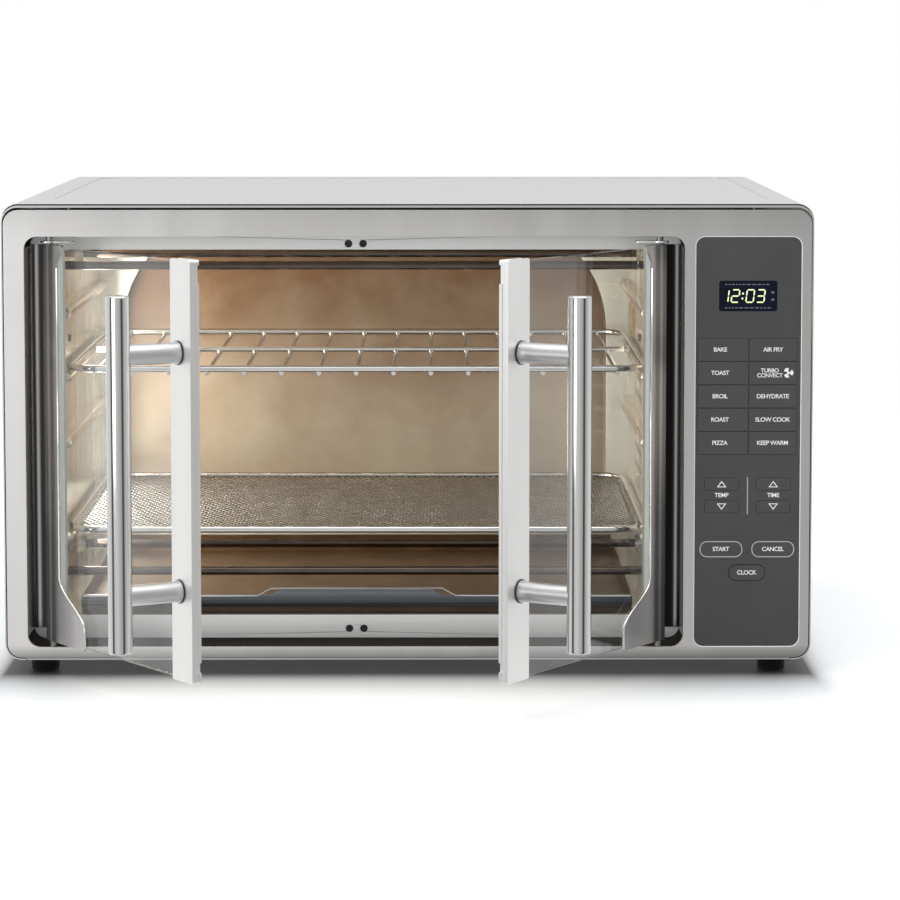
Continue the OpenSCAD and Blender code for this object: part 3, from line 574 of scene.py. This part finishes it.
def bead_points(path, radius, sides, closed=True):
    """A ring of points round each point of a path that lies in a plane of constant Y."""
    points = []
    n = len(path)
    for i, (x, y, z) in enumerate(path):
        px, _, pz = path[i - 1 if closed else max(i - 1, 0)]
        nx, _, nz = path[(i + 1) % n if closed else min(i + 1, n - 1)]
        dx, dz = nx - px, nz - pz
        length = math.hypot(dx, dz)
        for k in range(sides):
            a = 2 * math.pi * k / sides
            points.append((x + radius * math.cos(a) * dz / length, y + radius * math.sin(a),
                           z - radius * math.cos(a) * dx / length))
    return points


def bead(path, radius, sides=8):
    """A round bead along a closed path."""
    n = len(path)
    faces = [(i * sides + k, (i + 1) % n * sides + k, (i + 1) % n * sides + (k + 1) % sides,
              i * sides + (k + 1) % sides) for i in range(n) for k in range(sides)]
    return bead_points(path, radius, sides), faces


# ------------------------------------------------------------------ CAD nodes
RIM_ROLL = 1.35 * MM
EDGE_WIDTHS = {"outer_shell": 0.3 * MM, "control_panel": 0.25 * MM,
               "crumb_tray": 0.4 * MM, "left_latch_stile": 0.5 * MM, "right_latch_stile": 0.5 * MM,
               "left_hinge_stile": 0.5 * MM, "right_hinge_stile": 0.5 * MM, "front_flange": 0.3 * MM,
               "cavity_back_wall": 0.4 * MM, "left_door_glass": 0.4 * MM, "right_door_glass": 0.4 * MM}


def dress_nodes():
    for material, names in NODE_MATERIALS.items():
        for name in names:
            obj = NODES[name]
            obj.data.materials.clear()
            obj.data.materials.append(material)
            finish_edges(obj, EDGE_WIDTHS.get(name, 0.15 * MM if name.endswith("_key") else 0))
    frame_node = NODES["front_frame"]
    frame_node.modifiers.new("rim", "NODES").node_group = rim_group()
    roll = frame_node.modifiers.new("roll", "BEVEL")
    roll.width = RIM_ROLL
    roll.segments = 4
    roll.limit_method = "WEIGHT"
    roll.harden_normals = True


# ------------------------------------------------------------------ air-fry mesh
STRAND_PITCH = 2.55 * MM
STRAND_STEP = 7.2 * MM
STRAND_WIDTH = 0.62 * MM
SCREEN_SAG = 1.6 * MM


def air_fry_mesh():
    """Expanded metal: zigzag strands, front to back, that meet their neighbours at every bend."""
    low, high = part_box("tray_screen")
    corner = 20 * MM
    z = (low.z + high.z) / 2
    centre = (low + high) / 2
    half = (high - low) / 2
    columns = int(2 * half.x / STRAND_PITCH)
    steps = int(2 * half.y / STRAND_STEP)
    verts, faces = [], []

    def inside(x, y):
        dx = abs(x - centre.x) - (half.x - corner)
        dy = abs(y - centre.y) - (half.y - corner)
        return max(dx, dy) <= corner and (dx <= 0 or dy <= 0 or math.hypot(dx, dy) <= corner)

    def point(column, step):
        x = centre.x + (column - columns / 2) * STRAND_PITCH
        y = centre.y + (step - steps / 2) * STRAND_STEP
        x += STRAND_PITCH * 0.44 * (1 if (column + step) % 2 else -1)
        u, v = (x - centre.x) / half.x, (y - centre.y) / half.y
        return x, y, z - SCREEN_SAG * (1 - u * u) * (1 - v * v)

    for column in range(columns + 1):
        last = None
        for step in range(steps + 1):
            x, y, zz = point(column, step)
            if not inside(x, y):
                if last is not None:
                    faces.append((last, last + 1, last + 2, last + 3))
                last = None
                continue
            base = len(verts)
            for dx, dz in ((-0.5, -0.6), (0.5, -0.6), (0.5, 0.6), (-0.5, 0.6)):
                verts.append((x + dx * STRAND_WIDTH, y, zz + dz * STRAND_WIDTH))
            if last is None:
                faces.append((base + 3, base + 2, base + 1, base))
            else:
                faces += [(last + k, last + (k + 1) % 4, base + (k + 1) % 4, base + k) for k in range(4)]
            last = base
        if last is not None:
            faces.append((last, last + 1, last + 2, last + 3))
    screen = add_mesh("air_fry_mesh", verts, faces, MESH, "mesh_steel", "lower_tray")
    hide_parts("tray_screen")


# ------------------------------------------------------------------ door pieces
def door_matrix(side):
    """Where a door's own frame stands at rest: +X along the door, -Y outwards, origin on the pin."""
    joint = JOINTS[side + "_door_hinge"]
    angle = math.radians(-joint["range_deg"][0])
    spot = Matrix.Translation((joint["pos_m"][0], joint["pos_m"][1], 0))
    if side == "left":
        return spot @ Matrix.Rotation(-angle, 4, "Z")
    return spot @ Matrix.Rotation(angle, 4, "Z") @ Matrix.Scale(-1, 4, (1, 0, 0))


def in_door(side, node):
    """A node's lowest and highest corners in its door's own frame."""
    back = door_matrix(side).inverted()
    points = [back @ v.co for v in NODES[node].data.vertices]
    return (Vector([min(p[k] for p in points) for k in range(3)]),
            Vector([max(p[k] for p in points) for k in range(3)]))


def handle(side):
    """The handle bar with domed ends, replacing the plain CAD bar."""
    low, high = in_door(side, side + "_handle_bar")
    r = (high.x - low.x) / 2 - 0.01 * MM
    dome = 1.6 * MM
    end = [(0, 0), (r * 0.80, 0)]
    end += [(r - dome * (1 - math.sin(a)), dome * (1 - math.cos(a)))
            for a in map(math.radians, (20, 45, 70, 90))]
    profile = [(x, low.z + z) for x, z in end] + [(x, high.z - z) for x, z in reversed(end)]
    spot = Matrix.Translation(((low.x + high.x) / 2, (low.y + high.y) / 2, 0))
    bar = add_mesh(side + "_handle", *lathe(profile, 64), HANDLE, "handle_steel", side + "_door",
                   door_matrix(side) @ spot)
    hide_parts(side + "_handle_bar")
    finish_edges(bar, 0)


def studs(name, side, profile, steps, spots, turn, material, slot):
    """One turned shape at several spots of a door, its axis turned about X by turn degrees."""
    verts, faces = lathe(profile, steps)
    parts = []
    for spot in spots:
        place = Matrix.Translation(spot) @ Matrix.Rotation(math.radians(turn), 4, "X")
        parts.append(([place @ Vector(v) for v in verts], faces))
    finish_edges(add_mesh(name, *join_parts(parts), material, slot, side + "_door", door_matrix(side)), 0)


def post_rings(side):
    """A dark ring round the foot of each handle post."""
    low, high = in_door(side, side + "_handle_posts")
    r = (high.x - low.x) / 2
    inner, outer, thick = r - 0.6 * MM, r + 0.35 * MM, 0.9 * MM
    x, y = (low.x + high.x) / 2, in_door(side, side + "_latch_stile")[0].y
    studs(side + "_post_rings", side, [(inner, 0), (outer, 0), (outer, thick), (inner, thick)], 48,
          [(x, y, low.z + r), (x, y, high.z - r)], 90, BLACK, "black_plastic")


SCREW_PROFILE = [(0, 1.1 * MM), (1.1 * MM, 1.05 * MM), (2.2 * MM, 0.7 * MM), (2.7 * MM, 0.0), (0, 0)]
SCREW_X = 12.5 * MM
SCREW_HEIGHTS = (90 * MM, 224 * MM)


def stile_screws(side):
    """Two domed screws on the inner face of the hinge stile."""
    low, high = in_door(side, side + "_hinge_stile")
    studs(side + "_stile_screws", side, SCREW_PROFILE, 24,
          [(SCREW_X, high.y - 1.5 * MM, low.z + up) for up in SCREW_HEIGHTS], -90, CHROME, "chrome_wire")


PLATE_X = 17 * MM
GUSSET_LOW = 14 * MM
GUSSET_HIGH = 47 * MM
FLARE_STEPS = 12
EDGE_TOP = 16 * MM
EDGE_R = 0.75 * MM
EDGE_SIDES = 8


def stile_edge(side):
    """A bright rolled edge down the hinge stile and round its flared foot."""
    foot = in_door(side, side + "_hinge_stile")[1].x
    low, high = in_door(side, side + "_latch_stile")
    line = [(PLATE_X, high.z - EDGE_TOP), (PLATE_X, (high.z + low.z) / 2)]
    for i in range(FLARE_STEPS + 1):
        t = i / FLARE_STEPS
        line.append((PLATE_X + (foot - PLATE_X) * (1 - math.cos(math.pi * t)) / 2,
                     low.z + GUSSET_HIGH + (GUSSET_LOW - GUSSET_HIGH) * t))
    line.append((foot, low.z + 0.8 * MM))
    path = [(x - 0.4 * MM, low.y + 0.55 * MM, z) for x, z in line]
    m = EDGE_SIDES
    last = (len(path) - 1) * m
    faces = [(i + k, i + (k + 1) % m, i + m + (k + 1) % m, i + m + k)
             for i in range(0, last, m) for k in range(m)]
    faces += [tuple(range(m - 1, -1, -1)), tuple(range(last, last + m))]
    add_mesh(side + "_stile_edge", bead_points(path, EDGE_R, m, closed=False), faces, CHROME, "chrome_wire",
             side + "_door", door_matrix(side), smooth=True)


def glass_seal(side):
    """A pale strip of glazing tape where the glass enters the hinge stile."""
    low, high = in_door(side, side + "_door_glass")
    inset = 0.1 * MM
    seal = add_mesh(side + "_glass_seal", *box_part((PLATE_X - 0.6 * MM, low.y + inset, low.z),
                                                    (PLATE_X + 0.2 * MM, high.y - inset, high.z)),
                    SEAL, "black_rubber", side + "_door", door_matrix(side))
    finish_edges(seal, 0)


# (middle in X and Y, radius, first bearing in degrees) of the arcs round a hinge plate, in millimetres
HINGE_PLATE_ARCS = ((15, 2.5, 3, 0), (15, 2.5, 3, 60), (-1, 4, 5.5, 90), (-1, 4, 5.5, 140),
                    (-1, 1, 5.5, 190), (-1, 1, 5.5, 235), (0, 1, 5.5, 270), (15, -1.5, 3, 285))
HINGE_PLATE_T = 1.2 * MM


def hinge_plate(side):
    """A bright plate over the door's upper pin, under the recess's ceiling."""
    x, y, _ = JOINTS[side + "_door_hinge"]["pos_m"]
    way = 1 if side == "left" else -1
    z = in_door(side, side + "_latch_stile")[1].z + 0.9 * MM
    outline = []
    for cx, cy, r, start in HINGE_PLATE_ARCS:
        for a in (math.radians(start + 12 * i) for i in range(4)):
            outline.append((x + way * (cx + r * math.cos(a)) * MM, y + (cy + r * math.sin(a)) * MM))
    plate = add_mesh(side + "_hinge_plate", *upright(outline, z, z + HINGE_PLATE_T, way < 0),
                     CHROME, "chrome_wire", "casing")
    finish_edges(plate, 0.3 * MM)


# ------------------------------------------------------------------ front trim
def loop_points(low, high, y, r):
    return [(x, y, z) for x, z in rounded_outline(low.x, high.x, low.z, high.z, r, 10)]


def top_shade_line(name, low, high, top, radius, thick, y0, y1):
    """A black strip of painted shade in a gap along the casing's top edge and round its two corners."""
    bends = [math.radians(a) for a in range(0, 61, 10)]
    path = [(low + radius - radius * math.sin(a), top - radius + radius * math.cos(a))
            for a in reversed(bends)]
    path += [(high - radius + radius * math.sin(a), top - radius + radius * math.cos(a)) for a in bends]
    parts = [prism([(ax, az - thick), (bx, bz - thick), (bx, bz), (ax, az)], y0, y1)
             for (ax, az), (bx, bz) in zip(path, path[1:])]
    add_mesh(name, *join_parts(parts), BLACK, "black_plastic", "casing")


def trims():
    """Black strips of painted shade in the gaps along the casing's top and under the recess's top edge, a
    dark seam round the control panel, and the dark strips with painted reflections behind the hinges.
    """
    # Black strips in the gaps along the casing's top: painted shade.
    top_shade_line("hem_shade_line", SHELL_LOW.x + 0.1 * MM, SHELL_HIGH.x - 0.1 * MM, SHELL_HIGH.z - 0.05 * MM,
             12 * MM, 1.2 * MM, FRONT_Y + 2.9 * MM, FRONT_Y + 3.9 * MM)
    top_shade_line("frame_shade_line", FRAME_LOW.x - 0.1 * MM, FRAME_HIGH.x + 0.1 * MM, FRAME_HIGH.z + 0.35 * MM,
             10 * MM, 1.5 * MM, FRONT_Y + 0.1 * MM, FRONT_Y + 1.4 * MM)
    gap = Vector((0.3, 0, 0.3)) * MM
    seam = bead(loop_points(PANEL_LOW - gap, PANEL_HIGH + gap, PANEL_LOW.y + 0.5 * MM, 6.3 * MM), 0.3 * MM)
    add_mesh("panel_seam", *seam, BLACK, "black_plastic", "casing", smooth=True)
    # A black strip under the recess's top edge: painted shade.
    below = RECESS_HIGH.z + 0.2 * MM
    add_mesh("recess_shade_line", *box_part((RECESS_LOW.x + 3 * MM, FRONT_Y + 1.6 * MM, below - 1.3 * MM),
                                      (RECESS_HIGH.x - 3 * MM, FRONT_Y + 3.2 * MM, below)),
             BLACK, "black_plastic", "casing")
    # this piece coincides with panel_seam
    add_mesh("panel_seam.001", *seam, BLACK, "black_plastic", "casing", smooth=True)
    for side in SIDES:
        hinge_shade_strip(side)


RECESS_WALL = 1.2 * MM
CHANNEL_T = 0.5 * MM
CHANNEL_END = 9 * MM


def hinge_shade_strip(side):
    """A folded strip along the recess behind a door's pin: its dark face with streaks of painted reflection
    stands for the shade there.
    """
    way = 1 if side == "left" else -1
    outer = (RECESS_LOW.x if side == "left" else RECESS_HIGH.x) + way * RECESS_WALL
    far = JOINTS[side + "_door_hinge"]["pos_m"][0] - way * 3 * MM
    near, back = FRONT_Y + 3 * MM, RECESS_LOW.y - 0.1 * MM
    wall, face = outer + way * 0.05 * MM, outer + way * CHANNEL_T
    section = [(wall, near), (face, near), (face, back - 2.5 * MM),
               (face + way * 1.2 * MM, back - CHANNEL_T - 0.4 * MM), (far, back - CHANNEL_T), (far, back),
               (wall, back)]
    strip = upright(section, RECESS_LOW.z + CHANNEL_END, RECESS_HIGH.z - CHANNEL_END, way < 0)
    finish_edges(add_mesh(side + "_hinge_shade_strip", *strip, CHANNELS[side], "polished_steel", "casing"), 0)


def rolled_edges():
    """Rolled edges of pale plastic, as painted highlights, at the recess's right side, round the panel and
    along the crumb tray's lip.
    """
    r = 1.1 * MM
    x, y = RECESS_HIGH.x - 0.1 * MM, FRONT_Y + r + 0.1 * MM
    tube = [(x + r * math.cos(a * math.pi / 6), y + r * math.sin(a * math.pi / 6)) for a in range(12)]
    roll = upright(tube, RECESS_LOW.z + 4 * MM, RECESS_HIGH.z - 4 * MM)
    finish_edges(add_mesh("recess_edge", *roll, EDGE_HIGHLIGHT, "polished_steel", "casing"), 0)
    well = Vector((0.9, 0, 0.9)) * MM
    panel = loop_points(PANEL_LOW - well, PANEL_HIGH + well, FRONT_Y + 0.75 * MM, 7 * MM)
    add_mesh("panel_edge", *bead(panel, 0.72 * MM), EDGE_HIGHLIGHT, "polished_steel", "casing", smooth=True)
    tray_lip()


GRIP_HALF = (72 * MM, 62 * MM)
GRIP_RISE = 5.4 * MM
LIP_T = 0.6 * MM


def tray_lip():
    """The crumb tray's edge in pale plastic as a painted highlight, which rises in the middle as a grip."""
    rim, top = TRAY_HIGH.z - GRIP_RISE, TRAY_HIGH.z
    mid = (TRAY_LOW.x + TRAY_HIGH.x) / 2
    outside, inside = GRIP_HALF
    path = [(TRAY_LOW.x + 1 * MM, rim), (mid - outside, rim), (mid - inside, top), (mid + inside, top),
            (mid + outside, rim), (TRAY_HIGH.x - 1 * MM, rim)]
    parts = [prism([(ax, az - 2 * LIP_T), (bx, bz - 2 * LIP_T), (bx, bz - 0.1 * MM), (ax, az - 0.1 * MM)],
                   TRAY_LOW.y - 0.08 * MM, TRAY_LOW.y + LIP_T) for (ax, az), (bx, bz) in zip(path, path[1:])]
    lip = add_mesh("crumb_tray_edge", *join_parts(parts), EDGE_HIGHLIGHT, "polished_steel", "crumb_drawer")
    finish_edges(lip, 0)


# ------------------------------------------------------------------ legends
TEXT_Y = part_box("bake_key")[0].y - 0.03 * MM
PANEL_INK_Y = PANEL_LOW.y - 0.03 * MM
INK_T = 0.06 * MM
KEY_INK = (TEXT_Y - INK_T / 2, TEXT_Y + INK_T / 2)


def legend(name, lines, size, x, z, body, y):
    """Flat lettering on the front, centred on x and z, one list item per line."""
    curve = bpy.data.curves.new(name, "FONT")
    curve.body = "\n".join(lines)
    curve.size = size
    curve.align_x = "CENTER"
    curve.align_y = "CENTER"
    curve.space_line = 0.85
    curve.space_character = 0.92
    curve.extrude = INK_T / 2
    curve.offset = size * 0.012
    temp = bpy.data.objects.new(name + "_outline", curve)
    scene.collection.objects.link(temp)
    bpy.context.view_layer.update()
    mesh = bpy.data.meshes.new_from_object(temp.evaluated_get(bpy.context.evaluated_depsgraph_get()))
    bpy.data.objects.remove(temp)
    mesh.transform(Matrix.Translation((x, y, z)) @ Matrix.Rotation(math.radians(90), 4, "X"))
    mesh.materials.clear()
    mesh.materials.append(INK)
    obj = bpy.data.objects.new(name, mesh)
    scene.collection.objects.link(obj)
    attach(obj, body)


def key_centre(key):
    low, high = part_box(key + "_key")
    return (low + high) / 2


GRID_LEGENDS = {key: [key.replace("_", " ").upper()] for key in (
    "bake", "toast", "broil", "roast", "pizza", "air_fry", "convect", "dehydrate", "slow_cook", "keep_warm",
    "start", "cancel", "clock")}
GRID_LEGENDS["convect"] = ["TURBO", "CONVECT"]
GRID_SIZE = 4.3 * MM
PAIR_SIZE = 4.1 * MM
# how far left of its key's middle a legend is printed
LEGEND_LEFT = {"convect": 2.2 * MM, **{key: 2.1 * MM for key in ("bake", "toast", "broil", "roast", "pizza")}}


def outline_ring(key, width, material, inset=0.0):
    """A printed outline just inside a key's edge."""
    low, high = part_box(key + "_key")
    r = (high.z - low.z) / 2 - 0.45 * MM - inset
    outer = rounded_outline(low.x + inset, high.x - inset, low.z + inset, high.z - inset, r)
    inner = rounded_outline(low.x + inset + width, high.x - inset - width,
                            low.z + inset + width, high.z - inset - width, r - width)
    add_mesh(key + "_outline", *ring_prism(outer, inner, *KEY_INK), material, "panel_plastic",
             key + "_button")


def arrow(key, up):
    """A hollow triangle that points up or down."""
    centre = key_centre(key)
    half, rise = 3.4 * MM, 4.6 * MM * (1 if up else -1)

    def corners(scale):
        shift = rise * (1 / 3 - 0.5)
        points = [(-half, 0), (half, 0), (0, rise)]
        return [(centre.x + px * scale, centre.z + shift + (pz - rise / 3) * scale) for px, pz in points]

    add_mesh(key + "_arrow", *ring_prism(corners(1.0), corners(0.66), *KEY_INK), INK, "panel_plastic",
             key + "_button")


def fan_icon():
    """A small three-bladed fan beside the convection legend."""
    centre = key_centre("convect")
    x, z, r = centre.x + 10.9 * MM, centre.z + 0.2 * MM, 3.8 * MM

    def polar(reach, a):
        return x + r * reach * math.cos(a), z + r * reach * math.sin(a)

    parts = []
    for start in (math.radians(90 + 120 * blade) for blade in range(3)):
        outline = [polar(0.18, start)]
        outline += [polar(1.0 - 0.05 * abs(i - 3), start + math.radians(13 * i - 6)) for i in range(7)]
        parts.append(prism(outline, *KEY_INK))
    parts.append(prism([polar(0.26, a * math.pi / 6) for a in range(12)], *KEY_INK))
    add_mesh("convect_icon", *join_parts(parts), INK, "panel_plastic", "convect_button")


def legends():
    for key, lines in GRID_LEGENDS.items():
        centre = key_centre(key)
        size = PAIR_SIZE if len(lines) > 1 else GRID_SIZE
        x = centre.x - LEGEND_LEFT.get(key, 0)
        legend(key + "_legend", lines, size, x, centre.z, key + "_button", TEXT_Y)
    for key in ("start", "cancel"):
        outline_ring(key, 0.75 * MM, FAINT_INK)
    outline_ring("clock", 0.35 * MM, LINE_INK)
    for name in ("temp", "time"):
        arrow(name + "_up", True)
        arrow(name + "_down", False)
    for name in ("temp", "time"):
        top = key_centre(name + "_up")
        z = (top.z + key_centre(name + "_down").z) / 2
        legend(name + "_legend", [name.upper()], GRID_SIZE, top.x, z, "casing", PANEL_INK_Y)
    left, right, low = (key_centre(key) for key in ("temp_up", "time_up", "temp_down"))
    middle = (left.x + right.x) / 2
    add_mesh("arrow_divider", *box_part((middle - 0.35 * MM, PANEL_INK_Y - INK_T / 2, low.z - 5.5 * MM),
                                        (middle + 0.35 * MM, PANEL_INK_Y + INK_T / 2, left.z + 5 * MM)),
             FAINT_INK, "panel_plastic", "casing")
    fan_icon()


# ------------------------------------------------------------------ display
SEGMENTS = {"0": "abcdef", "1": "bc", "2": "abged", "3": "abgcd"}
DIGIT_H = 8.8 * MM
DIGIT_W = 5.2 * MM
STROKE = 0.9 * MM
DIGITS_LEFT = 3.8 * MM
SLANT = 0.12
LIT_T = 0.05 * MM


def segment_outline(name, x, z):
    """One segment of a seven-segment digit, as a slanted hexagon."""
    w, h, t = DIGIT_W, DIGIT_H / 2, STROKE
    places = {"a": (0, 2 * h, "h"), "g": (0, h, "h"), "d": (0, 0, "h"),
              "f": (0, h, "v"), "b": (w, h, "v"), "e": (0, 0, "v"), "c": (w, 0, "v")}
    px, pz, way = places[name]
    gap = 0.25 * MM
    if way == "h":
        points = [(gap, 0), (gap + t / 2, t / 2), (w - gap - t / 2, t / 2), (w - gap, 0),
                  (w - gap - t / 2, -t / 2), (gap + t / 2, -t / 2)]
    else:
        points = [(0, gap), (t / 2, gap + t / 2), (t / 2, h - gap - t / 2), (0, h - gap),
                  (-t / 2, h - gap - t / 2), (-t / 2, gap + t / 2)]
    return [(x + px + a + SLANT * (pz + b), z + pz + b) for a, b in points]


def display():
    low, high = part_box("display_window")
    y = low.y - 0.02 * MM
    z = (low.z + high.z) / 2 - DIGIT_H / 2
    gap = 2.35 * MM
    step = DIGIT_W + gap
    colon = 2.9 * MM
    x = (low.x + high.x - 4 * step - colon + gap - SLANT * DIGIT_H) / 2 - DIGITS_LEFT
    parts = []
    for place, digit in enumerate("1203"):
        at = x + place * step + (colon if place > 1 else 0)
        parts += [prism(segment_outline(s, at, z), y - LIT_T, y) for s in SEGMENTS[digit]]
    for share in (0.3, 0.7):
        cx = x + 2 * step - 1.3 * MM + colon / 2 + SLANT * DIGIT_H * share
        cz = z + DIGIT_H * share
        dot = 0.62 * MM
        parts.append(box_part((cx - dot, y - LIT_T, cz - dot), (cx + dot, y, cz + dot)))
    add_mesh("clock_digits", *join_parts(parts), SEGMENT, "display_plastic", "casing")
    marks = []
    rng = random.Random(4)
    for z_row in (high.z - 2.6 * MM, low.z + 2.4 * MM):
        at = low.x + 4 * MM
        while at < high.x - 5 * MM:
            width = rng.uniform(1.2, 3.2) * MM
            marks.append(box_part((at, y - LIT_T, z_row - 0.4 * MM), (at + width, y, z_row + 0.4 * MM)))
            at += width + 0.9 * MM
    for share in (0.38, 0.62):
        z_row = low.z + (high.z - low.z) * share
        marks.append(box_part((high.x - 4.2 * MM, y - LIT_T, z_row - 0.8 * MM),
                              (high.x - 2.0 * MM, y, z_row + 0.8 * MM)))
    add_mesh("display_marks", *join_parts(marks), ICON, "display_plastic", "casing")


# ------------------------------------------------------------------ stage
FLOOR_X = 1.5
FLOOR_FRONT = 1.15
FLOOR_BACK = 1.7
SHADE_REACH = 0.050
SIDE_SHADE_SHARE = 7


def floor():
    """A white floor with a painted soft grey shadow where the casing meets it."""
    mesh = bpy.data.meshes.new("floor")
    mesh.from_pydata([(-FLOOR_X, -FLOOR_FRONT, 0), (FLOOR_X, -FLOOR_FRONT, 0),
                      (FLOOR_X, FLOOR_BACK, 0), (-FLOOR_X, FLOOR_BACK, 0)], [], [(0, 1, 2, 3)])
    s = Shader("floor_white", (0.80, 0.80, 0.80), roughness=0.6)
    s.bsdf.inputs["Emission Color"].default_value = (1, 1, 1, 1)
    middle, half = (SHELL_LOW + SHELL_HIGH) / 2, (SHELL_HIGH - SHELL_LOW) / 2

    def vector(operation, a, b=(0, 0, 0)):
        return s.add("ShaderNodeVectorMath", {0: a, 1: b}, operation=operation).outputs[0]

    # Painted shadow: darker and without glow near the casing, fading out over SHADE_REACH.
    off = vector("ABSOLUTE", vector("SUBTRACT", s.place, (middle.x, middle.y, 0)))
    outside = vector("MAXIMUM", vector("SUBTRACT", off, (half.x, half.y, 0)))
    weighed = vector("MULTIPLY", outside, (SIDE_SHADE_SHARE, 1, 1))
    away = s.add("ShaderNodeVectorMath", {0: weighed}, operation="LENGTH").outputs["Value"]
    painted_shadow = s.math(s.math(away, -1 / SHADE_REACH, "MULTIPLY"), operation="EXPONENT")
    s.color(s.tint(painted_shadow, (0.78, 0.80, 0.82), (0.055, 0.056, 0.058)))
    s.drive("Emission Strength", s.ramp(painted_shadow, 0.0, 1.0, 0.17, 0.0))
    s.rough(s.span(s.noise((3, 3, 3)), 0.5, 0.6))
    mesh.materials.append(s.material)
    obj = bpy.data.objects.new("floor", mesh)
    obj.visible_glossy = False
    scene.collection.objects.link(obj)


def area(name, size, power, place, target, color=(1, 1, 1)):
    light = bpy.data.lights.new(name, "AREA")
    light.shape = "RECTANGLE"
    light.size, light.size_y = size
    light.energy = power
    light.color = color
    obj = bpy.data.objects.new(name, light)
    obj.location = place
    obj.rotation_euler = (Vector(target) - Vector(place)).to_track_quat("-Z", "Y").to_euler()
    obj.visible_camera = False
    scene.collection.objects.link(obj)
    return obj


WARM = (1.0, 0.90, 0.74)
CREAM = (1.0, 0.95, 0.86)
WALL_GAP = 0.012
ROOF_GAP = 0.004


def lights():
    """Two studio lights, and three inside that stand for the light the liner walls throw about."""
    area("overhead", (3.2, 2.6), 62, (0, -0.3, 2.6), (0, -0.1, 0))
    area("left_low", (0.7, 0.7), 5, (-1.1, -1.5, 0.35), (SHELL_LOW + SHELL_HIGH) / 2)
    x, y, z = (CAVITY_LOW + CAVITY_HIGH) / 2
    width, depth, _ = CAVITY_HIGH - CAVITY_LOW
    left, right = CAVITY_LOW.x, CAVITY_HIGH.x
    roof = (x, y, CAVITY_HIGH.z - ROOF_GAP)
    top = area("cavity_top", (width * 0.8, depth * 0.6), 0.52, roof, (x, y, 0), WARM)
    top.visible_glossy = False
    area("cavity_left", (depth * 0.7, 0.20), 1.55, (left + WALL_GAP, y, z), (right, y, z), CREAM)
    area("cavity_right", (depth * 0.6, 0.16), 0.13, (right - WALL_GAP, y, z), (left, y, z), WARM)


# (turn from the viewer in degrees, + to the right; brightness) of the studio at the horizon
STUDIO = [(-180, 1.15), (-120, 1.25), (-76, 1.05), (-68, 0.10), (-54, 0.09), (-47, 0.95), (-20, 1.05),
          (12, 0.78), (30, 0.60), (36, 0.08), (48, 0.08), (57, 0.66), (100, 1.15), (140, 1.15), (180, 1.15)]


def world():
    """White to the camera. To everything else a studio with two dark flags, brighter at the left."""
    w = bpy.data.worlds.new("studio")
    scene.world = w
    w.use_nodes = True
    tree = w.node_tree
    tree.nodes.clear()

    def new(kind, inputs=None, **settings):
        return add_node(tree, kind, inputs, **settings)

    split = new("ShaderNodeSeparateXYZ", {0: new("ShaderNodeTexCoord").outputs["Generated"]}).outputs
    ahead = new("ShaderNodeMath", {0: split["Y"], 1: -1.0}, operation="MULTIPLY")
    turn = new("ShaderNodeMath", {0: split["X"], 1: ahead.outputs[0]}, operation="ARCTAN2")
    place = new("ShaderNodeMapRange", {"Value": turn.outputs[0], "From Min": -math.pi, "From Max": math.pi})
    ring = new("ShaderNodeValToRGB", {0: place.outputs[0]})
    fill_ramp(ring, [((degrees + 180) / 360, (level, level, level)) for degrees, level in STUDIO])
    height = new("ShaderNodeMapRange", {"Value": split["Z"], "From Min": 0.25, "From Max": 0.75})
    sky = new("ShaderNodeMix", {"Factor": height.outputs[0], "A": ring.outputs[0],
                                "B": (0.95, 0.95, 0.95, 1)}, data_type="RGBA")
    studio = new("ShaderNodeBackground", {"Color": sky.outputs[2], "Strength": 0.8})
    white = new("ShaderNodeBackground", {"Color": (1, 1, 1, 1)})
    seen = new("ShaderNodeLightPath").outputs["Is Camera Ray"]
    mix = new("ShaderNodeMixShader", {0: seen, 1: studio.outputs[0], 2: white.outputs[0]})
    new("ShaderNodeOutputWorld", {"Surface": mix.outputs[0]})


def camera():
    data = bpy.data.cameras.new("camera")
    data.lens = CAMERA_LENS
    data.sensor_width = 36
    data.shift_y = CAMERA_SHIFT
    data.clip_end = 100
    obj = bpy.data.objects.new("camera", data)
    obj.location = (CAMERA_X, FRONT_Y - CAMERA_DISTANCE, CAMERA_HEIGHT)
    obj.rotation_euler = (math.radians(90) - CAMERA_PITCH, 0, -CAMERA_YAW)
    scene.collection.objects.link(obj)
    scene.camera = obj


# ------------------------------------------------------------------ build
camera()
world()
lights()
floor()
dress_nodes()
air_fry_mesh()
for door_side in SIDES:
    handle(door_side)
    post_rings(door_side)
    stile_screws(door_side)
    stile_edge(door_side)
    glass_seal(door_side)
    hinge_plate(door_side)
trims()
rolled_edges()
legends()
display()
scene.view_settings.view_transform = "Standard"
